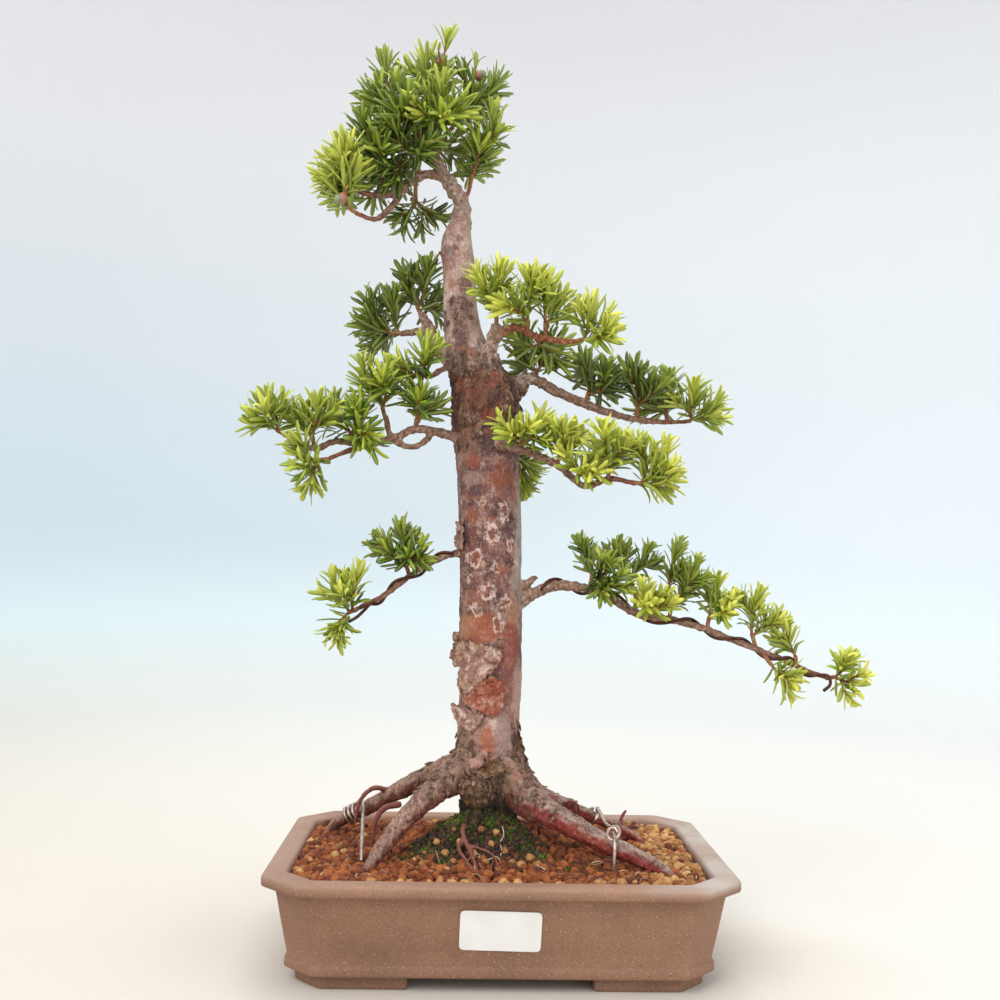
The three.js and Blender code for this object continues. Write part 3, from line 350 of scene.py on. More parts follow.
def fired_clay():
    # Fired stoneware: dull, brown-purple, with clouds 7 cm wide, a grain of about 1 mm, white and
    # dark specks of grog 2 to 3 mm apart, a painted highlight on the rim, and a thin pale bloom of lime on it
    material, tree, shader = new_material("fired brown stoneware")
    at = add(tree, "TexCoord", out="Object")
    cloud = add(tree, "TexNoise", {"Vector": at, "Scale": 14.0, "Detail": 6.0, "Roughness": 0.6})
    colour = add(tree, "ValToRGB", {"Fac": cloud},
                 stops=[(0.3, CLAY_DARK), (0.5, CLAY), (0.72, CLAY_WARM)])
    grain = add(tree, "TexNoise", {"Vector": at, "Scale": 900.0, "Detail": 3.0, "Roughness": 0.7})
    colour = add(tree, "MixRGB", {"Fac": 0.5, "Color1": colour, "Color2": grain},
                 blend_type="OVERLAY")
    pale = add(tree, "TexVoronoi", {"Vector": at, "Scale": 420.0})
    pale = add(tree, "MapRange", {"Value": pale, "From Min": 0.15, "From Max": 0.09, "To Max": 0.5})
    colour = add(tree, "MixRGB", {"Fac": pale, "Color1": colour, "Color2": linear(CLAY_PALE_GROG)})
    shifted = add(tree, "VectorMath", {0: at, 1: (0.37, 0.11, 0.23)})
    dark = add(tree, "TexVoronoi", {"Vector": shifted, "Scale": 330.0})
    dark = add(tree, "MapRange", {"Value": dark, "From Min": 0.15, "From Max": 0.09, "To Max": 0.6})
    colour = add(tree, "MixRGB", {"Fac": dark, "Color1": colour, "Color2": linear(CLAY_DARK_GROG)})
    from_middle = add(tree, "VectorMath", {0: at, 1: tuple(POT_MIDDLE)}, operation="SUBTRACT")
    axes = add(tree, "SeparateXYZ", {"Vector": from_middle}).node.outputs
    on_rim = add(tree, "MapRange", {"Value": axes["Z"], "From Min": 0.0565, "From Max": 0.0605})
    # Painted highlight: the rim's top is painted paler, as where light falls on it
    wear_and_pot_rim_highlight = add(tree, "Math", {0: on_rim, 1: 0.28}, operation="MULTIPLY")
    colour = add(tree, "MixRGB", {"Fac": wear_and_pot_rim_highlight, "Color1": colour, "Color2": linear(CLAY_RIM_HIGHLIGHT)})
    patchy = add(tree, "TexNoise", {"Vector": at, "Scale": 18.0, "Detail": 5.0, "Roughness": 0.6})
    patchy = add(tree, "MapRange", {"Value": patchy, "From Min": 0.3, "From Max": 0.6, "To Max": 0.9})
    right = add(tree, "MapRange", {"Value": axes["X"], "From Min": 0.07, "From Max": 0.115})
    left = add(tree, "MapRange", {"Value": axes["X"], "From Min": -0.1, "From Max": -0.13, "To Max": 0.2})
    ends = add(tree, "Math", {0: right, 1: left}, operation="ADD")
    bloom = add(tree, "Math", {0: on_rim, 1: patchy}, operation="MULTIPLY")
    bloom = add(tree, "Math", {0: bloom, 1: ends}, operation="MULTIPLY")
    colour = add(tree, "MixRGB", {"Fac": bloom, "Color1": colour, "Color2": linear(CLAY_BLOOM)})
    relief = add(tree, "Bump", {"Height": grain, "Strength": 0.35, "Distance": 0.4 * MM})
    connect(shader, {"Base Color": colour, "Normal": relief, "Roughness": 0.72, "IOR": 1.5})
    return material


clay = fired_clay()
pot = new_piece("pot_body", pot_mesh(), clay)
for side_x in (-1, 1):
    for side_y in (-1, 1):
        foot = new_piece("foot", new_mesh("foot", *foot_points(side_x, side_y)))
        combined(pot, foot, "UNION")
for side in (-1, 1):
    circle = [(side * DRAIN_APART / 2 + DRAIN_RADIUS * math.cos(a), DRAIN_RADIUS * math.sin(a))
              for a in np.linspace(0, 2 * math.pi, DRAIN_SIDES + 1)[:-1]]
    drill = lofted([[(x, y, z) for x, y in circle] for z in (2, 2 * FLOOR_TOP)])
    combined(pot, new_piece("drill", new_mesh("drill", *drill)), "DIFFERENCE")
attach(pot, "root")
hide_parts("pot")
for polygon in pot.data.polygons:
    polygon.use_smooth = True
pot.data.set_sharp_from_angle(angle=math.radians(40))


# The drain meshes: squares of moulded black plastic net that lie over the drain holes.
def black_plastic():
    # Polythene net: black, satin, with dust in patches about 3 mm wide
    material, tree, shader = new_material("moulded black polythene")
    at = add(tree, "TexCoord", out="Object")
    dust = add(tree, "TexNoise", {"Vector": at, "Scale": 300.0, "Detail": 4.0})
    colour = add(tree, "ValToRGB", {"Fac": dust}, stops=[(0.4, "#1b1d1e"), (0.7, "#4a443e")])
    connect(shader, {"Base Color": colour, "Roughness": 0.5})
    return material


net = black_plastic()
for name in ("drain_mesh_left", "drain_mesh_right"):
    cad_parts[name].data.materials.clear()
    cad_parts[name].data.materials.append(net)


# The wood: trunk, surface roots, limbs and the cut knob, grown as one, and the loose bark on it.
# Yew bark is thin and papery and peels off in plates. Each row below is a point on a stem's
# centre line and its radius there.
TRUNK = [
    (-7, -3, 44, 17), (-7, -3, 80, 17.5), (-7, -3, 98, 19.5), (-8, -2, 116, 21), (-8, 0, 140, 20),
    (-8, 0, 180, 19.7), (-9, 0, 240, 19.7), (-12, 0, 300, 20.4),
    (-13, 0, 325, 21.8), (-16, 0, 343, 20.6), (-21, 0, 357, 17.4), (-27, 0, 371, 14), (-30, 0, 385, 12),
    (-32, 0, 402, 10.8), (-33, 0, 422, 10.2), (-35, 0, 440, 9.9), (-33, 0, 453, 7), (-32, 0, 464, 5.3),
]
LIMBS = {
    "leader": [(-32, 0, 459, 5.4), (-33, 0, 467, 5), (-38, -2, 475, 4.8), (-46, -4, 485, 4.1),
               (-50, -6, 495, 3.4), (-51, -8, 504, 2.8), (-54, -6, 517, 2.2), (-53, -6, 527, 1.7)],
    "crown_left": [(-42, -3, 482, 3.2), (-56, -9, 481, 2.8), (-68, -14, 472, 2.6),
                   (-80, -18, 464, 2.2), (-95, -22, 464, 1.6)],
    "crown_fork": [(-66, -13, 474, 2.2), (-76, -18, 457, 2), (-85, -24, 447, 1.8), (-97, -29, 449, 1.4)],
    "upper_left": [(-28, 4, 360, 6), (-44, 8, 371, 4.2), (-53, 12, 390, 3.4), (-58, 15, 398, 2.2)],
    "upper_left_arm": [(-50, 10, 385, 3), (-62, 14, 385, 2.5), (-71, 16, 384, 1.8)],
    "mid_left_twig": [(-26, -3, 362, 4), (-34, -5, 362, 2.6), (-42, -10, 357, 2.1), (-49, -14, 352, 1.6)],
    "mid_left": [(-24, -4, 310, 6), (-33, -6, 315, 3.4), (-46, -10, 318, 2.8), (-58, -13, 319, 2.6),
                 (-70, -16, 313, 2.5), (-88, -20, 308, 2.3), (-106, -24, 309, 2.1), (-118, -27, 304, 2),
                 (-129, -30, 308, 1.8), (-137, -32, 312, 1.4)],
    "mid_left_loop": [(-47, -10, 317, 2.1), (-55, -13, 309, 2), (-64, -14, 308, 2), (-72, -16, 312, 2)],
    "mid_left_low": [(-89, -20, 307, 1.9), (-99, -30, 302, 1.7), (-110, -39, 296, 1.4)],
    "mid_left_top": [(-73, -16, 312, 2), (-76, -19, 326, 1.7)],
    "upper_right": [(-17, -4, 345, 9), (-13, -11, 366, 5.6), (-9, -17, 385, 3)],
    "upper_right_arm": [(-11, -14, 377, 4), (2, -20, 383, 2.7), (15, -25, 377, 2.3), (33, -30, 373, 1.9),
                        (42, -33, 373, 1.4)],
    "right": [(-8, 0, 340, 12), (6, 1, 350, 6), (15, 3, 355, 3.7), (27, 5, 349, 3.3), (43, 8, 343, 3),
              (63, 11, 336, 2.6), (89, 13, 331, 2.1), (117, 16, 331, 1.4)],
    "mid_right": [(-12, -10, 316, 7), (-4, -21, 310, 3.2), (14, -30, 304, 2.6), (30, -37, 296, 2.3),
                  (45, -44, 284, 2), (59, -51, 288, 1.9), (74, -57, 285, 1.4)],
    "back": [(-8, 8, 326, 7), (-4, 24, 318, 3.6), (0, 38, 312, 2.6), (2, 50, 310, 1.6)],
    "low_left": [(-18, 0, 243, 5), (-27, -2, 243, 2.6), (-41, -6, 239, 2.1), (-53, -10, 232, 2),
                 (-65, -14, 223, 1.9), (-75, -18, 215, 1.8), (-85, -22, 210, 1.6), (-92, -25, 206, 1.4)],
    "low_right": [(0, 0, 206, 8), (9, -2, 212, 4.4), (17, -4, 217, 3.7), (28, -6, 223, 3.3),
                  (47, -9, 223, 3), (65, -11, 217, 2.8), (81, -13, 208, 2.6), (109, -15, 203, 2.3),
                  (127, -17, 198, 2.2), (145, -19, 191, 2), (172, -22, 181, 1.9), (188, -24, 174, 1.7),
                  (199, -26, 171, 1.4)],
    "dead_stub": [(8, -2, 219, 4), (20, -5, 229, 1.6)],
    "cut_knob": [(-11, -8, 105, 10), (-15, -29, 99, 9)],
}
ROOTS = {
    "front_left": [(-12, -5, 124, 11), (-24, -13, 111, 11), (-39, -21, 100, 8.5), (-54, -30, 87, 6.5),
                   (-67, -40, 73, 5), (-75, -46, 62, 4), (-80, -50, 51, 3)],
    "back_left": [(-10, 2, 122, 11), (-29, 6, 110, 8), (-46, 13, 101, 6.5), (-64, 21, 90, 5.5),
                  (-83, 29, 78, 4.8), (-101, 37, 68, 4), (-109, 42, 60, 3.2), (-112, 45, 51, 2.6)],
    "front_right": [(-4, -5, 122, 13), (8, -13, 103, 12), (20, -22, 92, 9.5), (36, -31, 85, 7.5),
                    (57, -38, 75, 6), (80, -43, 66, 5), (95, -46, 59, 4), (102, -48, 51, 3)],
    "back_right": [(2, 0, 112, 10), (16, 3, 98, 6.5), (30, 7, 90, 5), (52, 13, 80, 4), (74, 19, 70, 3.2),
                   (90, 24, 61, 2.6), (96, 26, 52, 2)],
    "rootlet": [(-16, -18, 82, 2.4), (-23, -34, 79, 1.6), (-19, -45, 70, 1.4), (-14, -53, 60, 1.3),
                (-12, -57, 50, 1.2)],
}
# Small cut twigs on the trunk's front
TWIG_SCARS = [
    [(-3, -14, 188.5, 2.6), (-3, -22.4, 188.5, 2.5)],
    [(-4, -14, 309, 3.2), (-3, -23, 309, 2.6)],
    [(-38, -2, 438, 4), (-42, -3, 439, 3)],
    [(-39, -3, 427, 2), (-46, -6, 433, 1.2)],
    [(-2, -12, 332, 2.4), (-2, -22, 333, 2)],
    [(-30, -4, 193, 2.2), (-30, -5, 188, 2)],
]
# Thin roots and a root stub, too small for the solids
THIN_ROOTS = [
    [(-20, -43, 72, 1.2), (-12, -47, 71, 1.1), (-5, -50, 68, 1.0), (-2, -54, 62, 0.9)],
    [(-22, -38, 76, 1.3), (-25, -46, 71, 1.2), (-20, -54, 65, 1.1), (-17, -58, 60, 0.9)],
    [(-61, -10, 88, 2.2), (-71, -12, 86, 2), (-76, -14, 79, 1.6), (-77, -15, 66, 1.2)],
    [(-72, 22, 90, 1.8), (-80, 18, 92, 1.7), (-88, 16, 85, 1.5), (-91, 15, 70, 1.2)],
    [(80, 20, 64, 1.6), (79, 20, 75, 1.3), (82, 20, 80, 1.0)],
    [(40, 6, 84, 1.4), (44, 2, 89, 1.2), (49, 3, 86, 1.1), (50, 6, 80, 1.0)],
]
STEM_SIDES = 28
PATH_STEPS = 5
TUBE_DOME = 0.4
BARK_VOXEL = 1.08
# Where the bark changes with height: the rough foot, the rough stretch round the fork
FOOT_TOP = 136
FORK_LOW = 300
FORK_TOP = 385
ROOT_TOP = 112
LIMB_LOW = 130
GROOVES_TOP = 125
FLUTES_TOP = 175
# The radii that tell a root, a limb and the trunk apart
LIMB_GIRTH = 8
TRUNK_GIRTH = 9
ROOT_GIRTH = 13
GROOVED_GIRTH = 16
CRACK_SEED = 31
# Where the roots spread from
ROOTS_X = -8
ROOTS_Y = -2
# Bark plates that have come loose on the trunk's front: outline (x, z), height off the trunk at
# the middle and at the edge, and how the plate is coloured (1 grey-pink, 2 red, 3 brown)
PEELS = [
    ([(-33, 178), (-31, 188), (-21, 189), (-14, 187), (-1, 184), (-1, 180), (-4, 174), (-9, 169),
      (-15, 164), (-20, 158), (-25, 156), (-28, 160), (-28, 167), (-26, 173), (-30, 172)], 0.8, 2.2, 1),
    ([(-25, 153), (-17, 162), (-9, 168), (-2, 166), (0, 160), (1, 150), (-3, 145), (-9, 144),
      (-15, 147), (-22, 149)], 0.6, 1.9, 2),
    ([(-32, 150), (-26, 149), (-18, 147), (-11, 145), (-14, 140), (-18, 134), (-24, 136), (-29, 139),
      (-31, 144)], 1.2, 2.8, 1),
    ([(9, 136), (12, 130), (15, 120), (17, 113), (12, 115), (8, 116), (7, 125)], 1.0, 3.4, 3),
    ([(-16, 112), (-10, 117), (-3, 118), (2, 116), (1, 112), (-5, 109), (-11, 108)], 2.4, 5.0, 3),
    ([(-31, 262), (-27, 262), (-26, 252), (-27, 244), (-32, 246)], 0.5, 1.4, 1),
]
# How far across the trunk's front a plate still follows its curve, as a share of the radius
SIDE_SHARE = 0.93
PLATE_THICK = 0.6
PLATE_STEP = 1.1
PLATE_RAGGED = 0.9
# The rings of a plate, from its middle to its edge
PLATE_RINGS = (0.12, 0.35, 0.55, 0.72, 0.86, 0.95, 1)
FLAKE_CORNERS = 9
# How a flake is coloured, next to the kinds of plates
FLAKE_KIND = 4
# Where old bark flakes, on the front only: from x, to x, from z, to z, how many flakes
FLAKY = [
    (-36, -16, 98, 134, 90), (-14, 22, 94, 122, 110), (6, 14, 100, 140, 30), (-2, 24, 322, 352, 90),
    (-30, 0, 346, 368, 60), (-32, -14, 306, 334, 40), (-48, -24, 380, 402, 14),
    (-52, -30, 92, 112, 30), (14, 50, 84, 104, 30),
]


def smooth_path(points, steps):
    # A centripetal curve through points of (x, y, z, radius), with even steps between them
    rows = np.array(points, float)
    rows = np.vstack([2 * rows[0] - rows[1], rows, 2 * rows[-1] - rows[-2]])
    out = []
    for i in range(1, len(rows) - 2):
        p = rows[i - 1:i + 3]
        knots = np.concatenate([[0], np.cumsum(
            np.linalg.norm(np.diff(p[:, :3], axis=0), axis=1) ** 0.5 + 1e-6)])
        for t in np.linspace(knots[1], knots[2], steps, endpoint=False):
            a = [((knots[k + 1] - t) * p[k] + (t - knots[k]) * p[k + 1]) / (knots[k + 1] - knots[k])
                 for k in range(3)]
            b = [((knots[k + 2] - t) * a[k] + (t - knots[k]) * a[k + 1]) / (knots[k + 2] - knots[k])
                 for k in range(2)]
            out.append(((knots[2] - t) * b[0] + (t - knots[1]) * b[1]) / (knots[2] - knots[1]))
    out.append(rows[-2])
    out = np.array(out)
    out[:, 3] = np.maximum(out[:, 3], 0.3)
    return out


def frames_along(centres):
    # The directions along and across a path, which turn as little as they can
    tangents = np.gradient(centres, axis=0)
    tangents /= np.linalg.norm(tangents, axis=1)[:, None]
    normals = []
    across = np.eye(3)[np.argmin(np.abs(tangents[0]))]
    for tangent in tangents:
        across = across - tangent * across.dot(tangent)
        across /= np.linalg.norm(across)
        normals.append(across)
    normals = np.array(normals)
    return tangents, normals, np.cross(tangents, normals)


def tube(path, sides):
    # A closed tube round a path of (x, y, z, radius), with a small dome at each end
    _, normals, binormals = frames_along(path[:, :3])
    angles = np.linspace(0, 2 * math.pi, sides, endpoint=False)
    rings = []
    for centre, radius, n, b in zip(path[:, :3], path[:, 3], normals, binormals):
        rings.append(centre + radius * (np.cos(angles)[:, None] * n + np.sin(angles)[:, None] * b))
    points = np.vstack(rings)
    count = len(path)
    for end, inner in ((0, 1), (-1, -2)):
        out = path[end, :3] - path[inner, :3]
        points = np.vstack([points, path[end, :3] + out / np.linalg.norm(out) * path[end, 3] * TUBE_DOME])
    faces = []
    for i in range(sides):
        j = (i + 1) % sides
        for k in range(count - 1):
            faces.append((k * sides + i, k * sides + j, (k + 1) * sides + j, (k + 1) * sides + i))
        faces.append((count * sides, j, i))
        faces.append((count * sides + 1, (count - 1) * sides + i, (count - 1) * sides + j))
    return points, faces


def joined(parts):
    # One mesh from several, each a list of points and a list of faces
    points = []
    faces = []
    base = 0
    for part_points, part_faces in parts:
        points.append(part_points)
        faces.extend(tuple(base + i for i in face) for face in part_faces)
        base += len(part_points)
    return np.vstack(points), faces


def modified(piece, kind, **settings):
    change = piece.modifiers.new(kind, kind)
    for key, value in settings.items():
        setattr(change, key, value)
    graph = bpy.context.evaluated_depsgraph_get()
    mesh = bpy.data.meshes.new_from_object(piece.evaluated_get(graph))
    piece.modifiers.clear()
    piece.data = mesh


def nearest_stem(points, stems):
    # For each point: the signed distance to the nearest stem's surface, and its radius there
    best = np.full(len(points), 1e9)
    girth = np.zeros(len(points))
    for path in stems:
        start = path[:-1, :3]
        way = path[1:, :3] - start
        for a, w, r0, r1 in zip(start, way, path[:-1, 3], path[1:, 3]):
            t = np.clip((points - a) @ w / max(w @ w, 1e-9), 0, 1)
            radius = r0 + (r1 - r0) * t
            away = np.linalg.norm(points - a - t[:, None] * w, axis=1) - radius
            closer = away < best
            best[closer] = away[closer]
            girth[closer] = radius[closer]
    return best, girth


def vertex_array(mesh, key, width=3):
    flat = np.empty(len(mesh.vertices) * width)
    mesh.vertices.foreach_get(key, flat)
    return flat.reshape(-1, width)


def roughness_at(p, girth):
    # Old bark is rough at the trunk's foot and round the fork, and smooth between them
    if p[2] > FORK_TOP:
        return 0.08
    foot = max(0, min((FOOT_TOP - p[2]) / 14, 1))
    fork = max(0, min((p[2] - FORK_LOW) / 20, (FORK_TOP - p[2]) / 25, 1))
    fork *= 1 if girth > TRUNK_GIRTH else 0.6
    return 0.22 + 0.78 * max(foot, fork)


def bark_relief(p, girth):
    # How far the bark stands out at a point: bulges 2-3 cm long, cracks about 1 cm apart, chips of
    # 5 mm and fine roughness of 2 mm
    bulge = noise.noise(Vector((p[0] / 17, p[1] / 17, p[2] / 34))) * 0.05 * girth
    rough = roughness_at(p, girth)
    if girth < ROOT_GIRTH and p[2] < ROOT_TOP:
        return bulge + root_grooves(p) * min(girth / 6, 1)
    bent = Vector(p) + 2.2 * noise.noise_vector(Vector(p) / 7)
    crack = abs(noise.noise(Vector((bent[0] / 6, bent[1] / 6, bent[2] / 10))))
    crack = -1.7 * max(0, 1 - crack / 0.13)
    chip = noise.cell(Vector((bent[0] / 4.5, bent[1] / 4.5, bent[2] / 6)))
    fine = noise.noise(Vector((p[0] / 2.1, p[1] / 2.1, p[2] / 3.4)))
    lift = rough * (crack + 0.9 * chip + 0.9 * fine)
    if girth < LIMB_GIRTH and p[2] > LIMB_LOW:
        knobs = noise.noise(Vector(p) / 3.6)
        return girth * (0.3 * knobs + 0.2 * fine) * min(1, girth / 2)
    return bulge + lift * min(girth / 10, 1)


def groove_at(p):
    # Shallow grooves that run along the roots, away from the trunk
    away = math.hypot(p[0] - ROOTS_X, p[1] - ROOTS_Y)
    angle = math.atan2(p[1] - ROOTS_Y, p[0] - ROOTS_X)
    return noise.noise(Vector((angle * away / 2.6, away / 16, (p[2] + 0.45 * away) / 2.6)))


def root_grooves(p):
    groove = groove_at(p)
    lump = noise.noise(Vector((p[0] / 9, p[1] / 9, p[2] / 6)))
    scale = noise.noise(Vector((p[0] / 2.4, p[1] / 2.4, p[2] / 2.4)))
    return 0.45 * groove + 0.8 * lump + 0.3 * scale


def flutes(p):
    # The trunk's foot is fluted where the roots run up into it
    low = max(0, min((FLUTES_TOP - p[2]) / 70, 1))
    angle = math.atan2(p[1] - ROOTS_Y, p[0] - ROOTS_X)
    return low * 1.5 * math.cos(4 * angle + 0.9 + p[2] / 60)


def wood_surface(stems):
    # The stems fused into one skin, with the relief of the bark
    mesh = new_mesh("wood", *joined([tube(path, STEM_SIDES) for path in stems]))
    rough = new_piece("wood_rough", mesh)
    modified(rough, "REMESH", mode="VOXEL", voxel_size=BARK_VOXEL * MM)
    modified(rough, "SMOOTH", factor=0.5, iterations=2)
    mesh = rough.data
    bpy.data.objects.remove(rough)
    points = (vertex_array(mesh, "co") - np.array(POT_MIDDLE)) / MM
    normals = vertex_array(mesh, "normal")
    _, girth = nearest_stem(points, stems)
    for i, p in enumerate(points):
        lift = bark_relief(p, girth[i])
        if girth[i] > TRUNK_GIRTH and p[2] < FLUTES_TOP:
            lift += flutes(p)
        points[i] = p + normals[i] * lift
    return points, normals, girth, [tuple(polygon.vertices) for polygon in mesh.polygons]


def on_trunk(x, z, lift):
    # A point on the trunk's front at x and z. Past the trunk's side it runs straight on
    rows = np.array(TRUNK, float)
    centre_x = np.interp(z, rows[:, 2], rows[:, 0])
    radius = np.interp(z, rows[:, 2], rows[:, 3]) + lift
    centre_y = np.interp(z, rows[:, 2], rows[:, 1])
    across = (x - centre_x) / radius
    held = max(-SIDE_SHARE, min(SIDE_SHARE, across))
    past = (across - held) * radius
    deep = math.sqrt(1 - held * held) * radius - abs(past) * 0.2
    return np.array((centre_x + held * radius + past, centre_y - deep, z))


def loose_plate(outline, middle_lift, edge_lift, draw):
    # A thin shell with a ragged edge that curls off the trunk
    corners = np.array(outline + outline[:1], float)
    ring = []
    for a, b in zip(corners[:-1], corners[1:]):
        parts = max(2, round(np.linalg.norm(b - a) / PLATE_STEP))
        ring.extend(a + (b - a) * k / parts for k in range(parts))
    ring = np.array(ring)
    centre = ring.mean(axis=0)
    ragged = np.array([[draw.uniform(-PLATE_RAGGED, PLATE_RAGGED) for _ in range(2)] for _ in ring])
    layers = []
    for under in (0, PLATE_THICK):
        for share in PLATE_RINGS:
            for x, z in centre + share * (ring - centre) + share ** 6 * ragged:
                bump = 0.8 * noise.noise(Vector((x / 5, z / 5, 4))) + 0.2 * noise.noise(Vector((x, z, 9)))
                lift = middle_lift + (edge_lift - middle_lift) * share ** 3 + bump - under
                layers.append(on_trunk(x, z, lift))
    return shell_faces(np.array(layers), len(ring), len(PLATE_RINGS))


def shell_faces(points, count, rows):
    # The faces of a thin shell: its upper rings of points come first, then its lower ones
    faces = [tuple(range(count)), tuple(reversed(range(rows * count, (rows + 1) * count)))]
    for k in range(rows - 1):
        for i in range(count):
            j = (i + 1) % count
            top = (k * count + i, (k + 1) * count + i, (k + 1) * count + j, k * count + j)
            faces.append(top)
            faces.append(tuple(reversed([rows * count + v for v in top])))
    edge = (rows - 1) * count
    for i in range(count):
        j = (i + 1) % count
        faces.append((edge + i, rows * count + edge + i, rows * count + edge + j, edge + j))
    return points, [tuple(reversed(face)) for face in faces]


def flake(spot, normal, draw):
    # A small chip of old bark, 1-5 mm across, with one edge lifted
    along = np.cross(normal, (draw.uniform(-1, 1), draw.uniform(-1, 1), 1.4))
    along /= np.linalg.norm(along)
    upright = np.cross(normal, along)
    size = draw.uniform(0.7, 2.3)
    tilt = draw.uniform(0.05, 0.4)
    ring = []
    for i in range(FLAKE_CORNERS):
        angle = 2 * math.pi * i / FLAKE_CORNERS
        reach = size * draw.uniform(0.6, 1.4)
        ring.append((reach * 0.7 * math.cos(angle), reach * 1.2 * math.sin(angle)))
    points = []
    for under in (0.2, -0.3):
        for share in (0.4, 1):
            for u, v in ring:
                lift = 0.15 + tilt * (v * share + size * 0.4) + 0.08 * (u * share) ** 2 + under
                points.append(spot + along * u * share + upright * v * share + normal * lift)
    return shell_faces(np.array(points), FLAKE_CORNERS, 2)


def bark_flakes(points, normals, draw):
    parts = []
    for low_x, high_x, low_z, high_z, number in FLAKY:
        inside = (points[:, 0] > low_x) & (points[:, 0] < high_x) & (points[:, 2] > low_z) \
            & (points[:, 2] < high_z) & (normals[:, 1] < 0.3) & (normals[:, 2] > -0.6)
        for index in draw.sample(np.flatnonzero(inside).tolist(), number):
            parts.append(flake(points[index], normals[index], draw))
    return parts


def bark_mesh(name, points, faces, **values):
    # The values, one for each point, tell the bark's material what it lies on
    mesh = new_mesh(name, points, faces)
    for key, value in values.items():
        mesh.attributes.new(key, "FLOAT", "POINT").data.foreach_set("value", np.array(value, float))
    return mesh


def wood_meshes():
    # The living wood, and the loose plates and flakes of old bark that lie on it
    draw = random.Random(31)
    # Without a seed of its own, noise_vector gives other cracks in every run
    noise.seed_set(CRACK_SEED)
    stems = [smooth_path(points, PATH_STEPS)
             for points in [TRUNK, *ROOTS.values(), *LIMBS.values(), *TWIG_SCARS, *THIN_ROOTS]]
    points, normals, girth, faces = wood_surface(stems)
    grooves = [groove_at(p) if g < GROOVED_GIRTH and p[2] < GROOVES_TOP else 0
               for p, g in zip(points, girth)]
    parts = []
    kinds = []
    for outline, middle_lift, edge_lift, kind in PEELS:
        parts.append(loose_plate(outline, middle_lift, edge_lift, draw))
        kinds += [kind] * len(parts[-1][0])
    for part in bark_flakes(points, normals, draw):
        parts.append(part)
        kinds += [FLAKE_KIND] * len(part[0])
    many = len(kinds)
    as_trunk = [20] * many
    return (bark_mesh("wood", points, faces, groove=grooves, girth=girth, peel=[0] * len(points)),
            bark_mesh("loose_bark", *joined(parts), groove=[0] * many, girth=as_trunk, peel=kinds))


# Colours from the cracks to the highest skin. The trunk's middle comes first, then for each other
# stretch the height where it begins, where it is whole, and its colours: dark brown round the
# fork, grey-pink above it, pink-brown low down, and olive cracks at the foot
MIDDLE_BARK = [(0.36, "#412828"), (0.46, "#67423e"), (0.54, "#85594f"), (0.64, "#b19183")]
BARK_STRETCHES = [
    (312, 328, [(0.34, "#241006"), (0.46, "#4c2816"), (0.56, "#714128"), (0.68, "#976e50")]),
    (352, 372, [(0.34, "#7c5a4d"), (0.48, "#a98a7d"), (0.6, "#c4aca0"), (0.7, "#d2beb4")]),
    (176, 160, [(0.36, "#65433a"), (0.46, "#946a5c"), (0.55, "#b48b7c"), (0.66, "#ccb1a5")]),
    (118, 106, [(0.36, "#2f2014"), (0.46, "#5e452e"), (0.56, "#856a50"), (0.68, "#af9681")]),
]
BRANCH_BARK = [(0.36, "#4d342a"), (0.48, "#86654f"), (0.55, "#977568"), (0.64, "#bda595")]
STOUT_BRANCH_BARK = [(0.36, "#5f463b"), (0.46, "#957868"), (0.53, "#b39c90"), (0.62, "#cdbcb1")]
TWIG_BARK = [(0.38, "#55301f"), (0.56, "#8a543e")]
RUSTY_BARK = [(0.36, "#4c2413"), (0.48, "#85482b"), (0.56, "#a5643f"), (0.66, "#c09273")]
# Root skins for the sides facing up and down: the pale upper ones partly painted light, the darker red lower
# ones partly painted shade
RIGHT_ROOT_TOP_BLEACHED_AND_LIT = [(0.4, "#3f2922"), (0.46, "#765a4e"), (0.52, "#9b8075"), (0.6, "#c0aaa0")]
LEFT_ROOT_TOP_BLEACHED_AND_LIT = [(0.38, "#452a21"), (0.46, "#795547"), (0.53, "#9b7a6c"), (0.64, "#c0a598")]
RIGHT_ROOT_UNDER_RED_AND_SHADED = [(0.4, "#3a0e0b"), (0.47, "#7c201b"), (0.55, "#9a352c"), (0.62, "#b5766b")]
LEFT_ROOT_UNDER_RED_AND_SHADED = [(0.4, "#240e0a"), (0.47, "#58231c"), (0.54, "#7b3f34"), (0.62, "#a0786c")]
KNOB_BARK = [(0.38, "#2a1a10"), (0.5, "#5c4029"), (0.62, "#8a6d4e")]
# The colours of each kind of loose plate, and of the flakes last
LOOSE_BARK = [
    [(0.38, "#5e3a2d"), (0.46, "#8c6453"), (0.54, "#a58171"), (0.63, "#d3bbae")],
    [(0.38, "#652c1c"), (0.46, "#90492f"), (0.53, "#9b6350"), (0.62, "#bb9688")],
    [(0.36, "#3a2517"), (0.48, "#694a31"), (0.58, "#8d6d52"), (0.68, "#b3967e")],
    [(0.38, "#3a271b"), (0.48, "#67503d"), (0.57, "#8a6e5a"), (0.66, "#ad9585")],
]
# Rust and plum clouds: how far the pattern is moved, its colour and its share at most
BARK_CLOUDS = [(0, "#8d4a36", 0.55), (40, "#4b3238", 0.6)]
BARK_DUST = "#ccb8ad"
BARK_FLECK = "#b09a8e"
BARK_GREY = "#b0a49d"
EYE_RIM = "#e0c8bb"
EYE_INSIDE = "#7d4a3c"
ROOTLET_BARK = "#7e4238"
# Painted shade: near-black brown for the trunk's foot under the knob and the root arches
PAINTED_SHADE_UNDER_TRUNK = "#2a1b12"
# The middles of the upper right arm, whose bark is rust-red, and of the cut knob at the foot
RUSTY_ARM = (24, -26, 378)
CUT_KNOB = (-15, -28, 100)
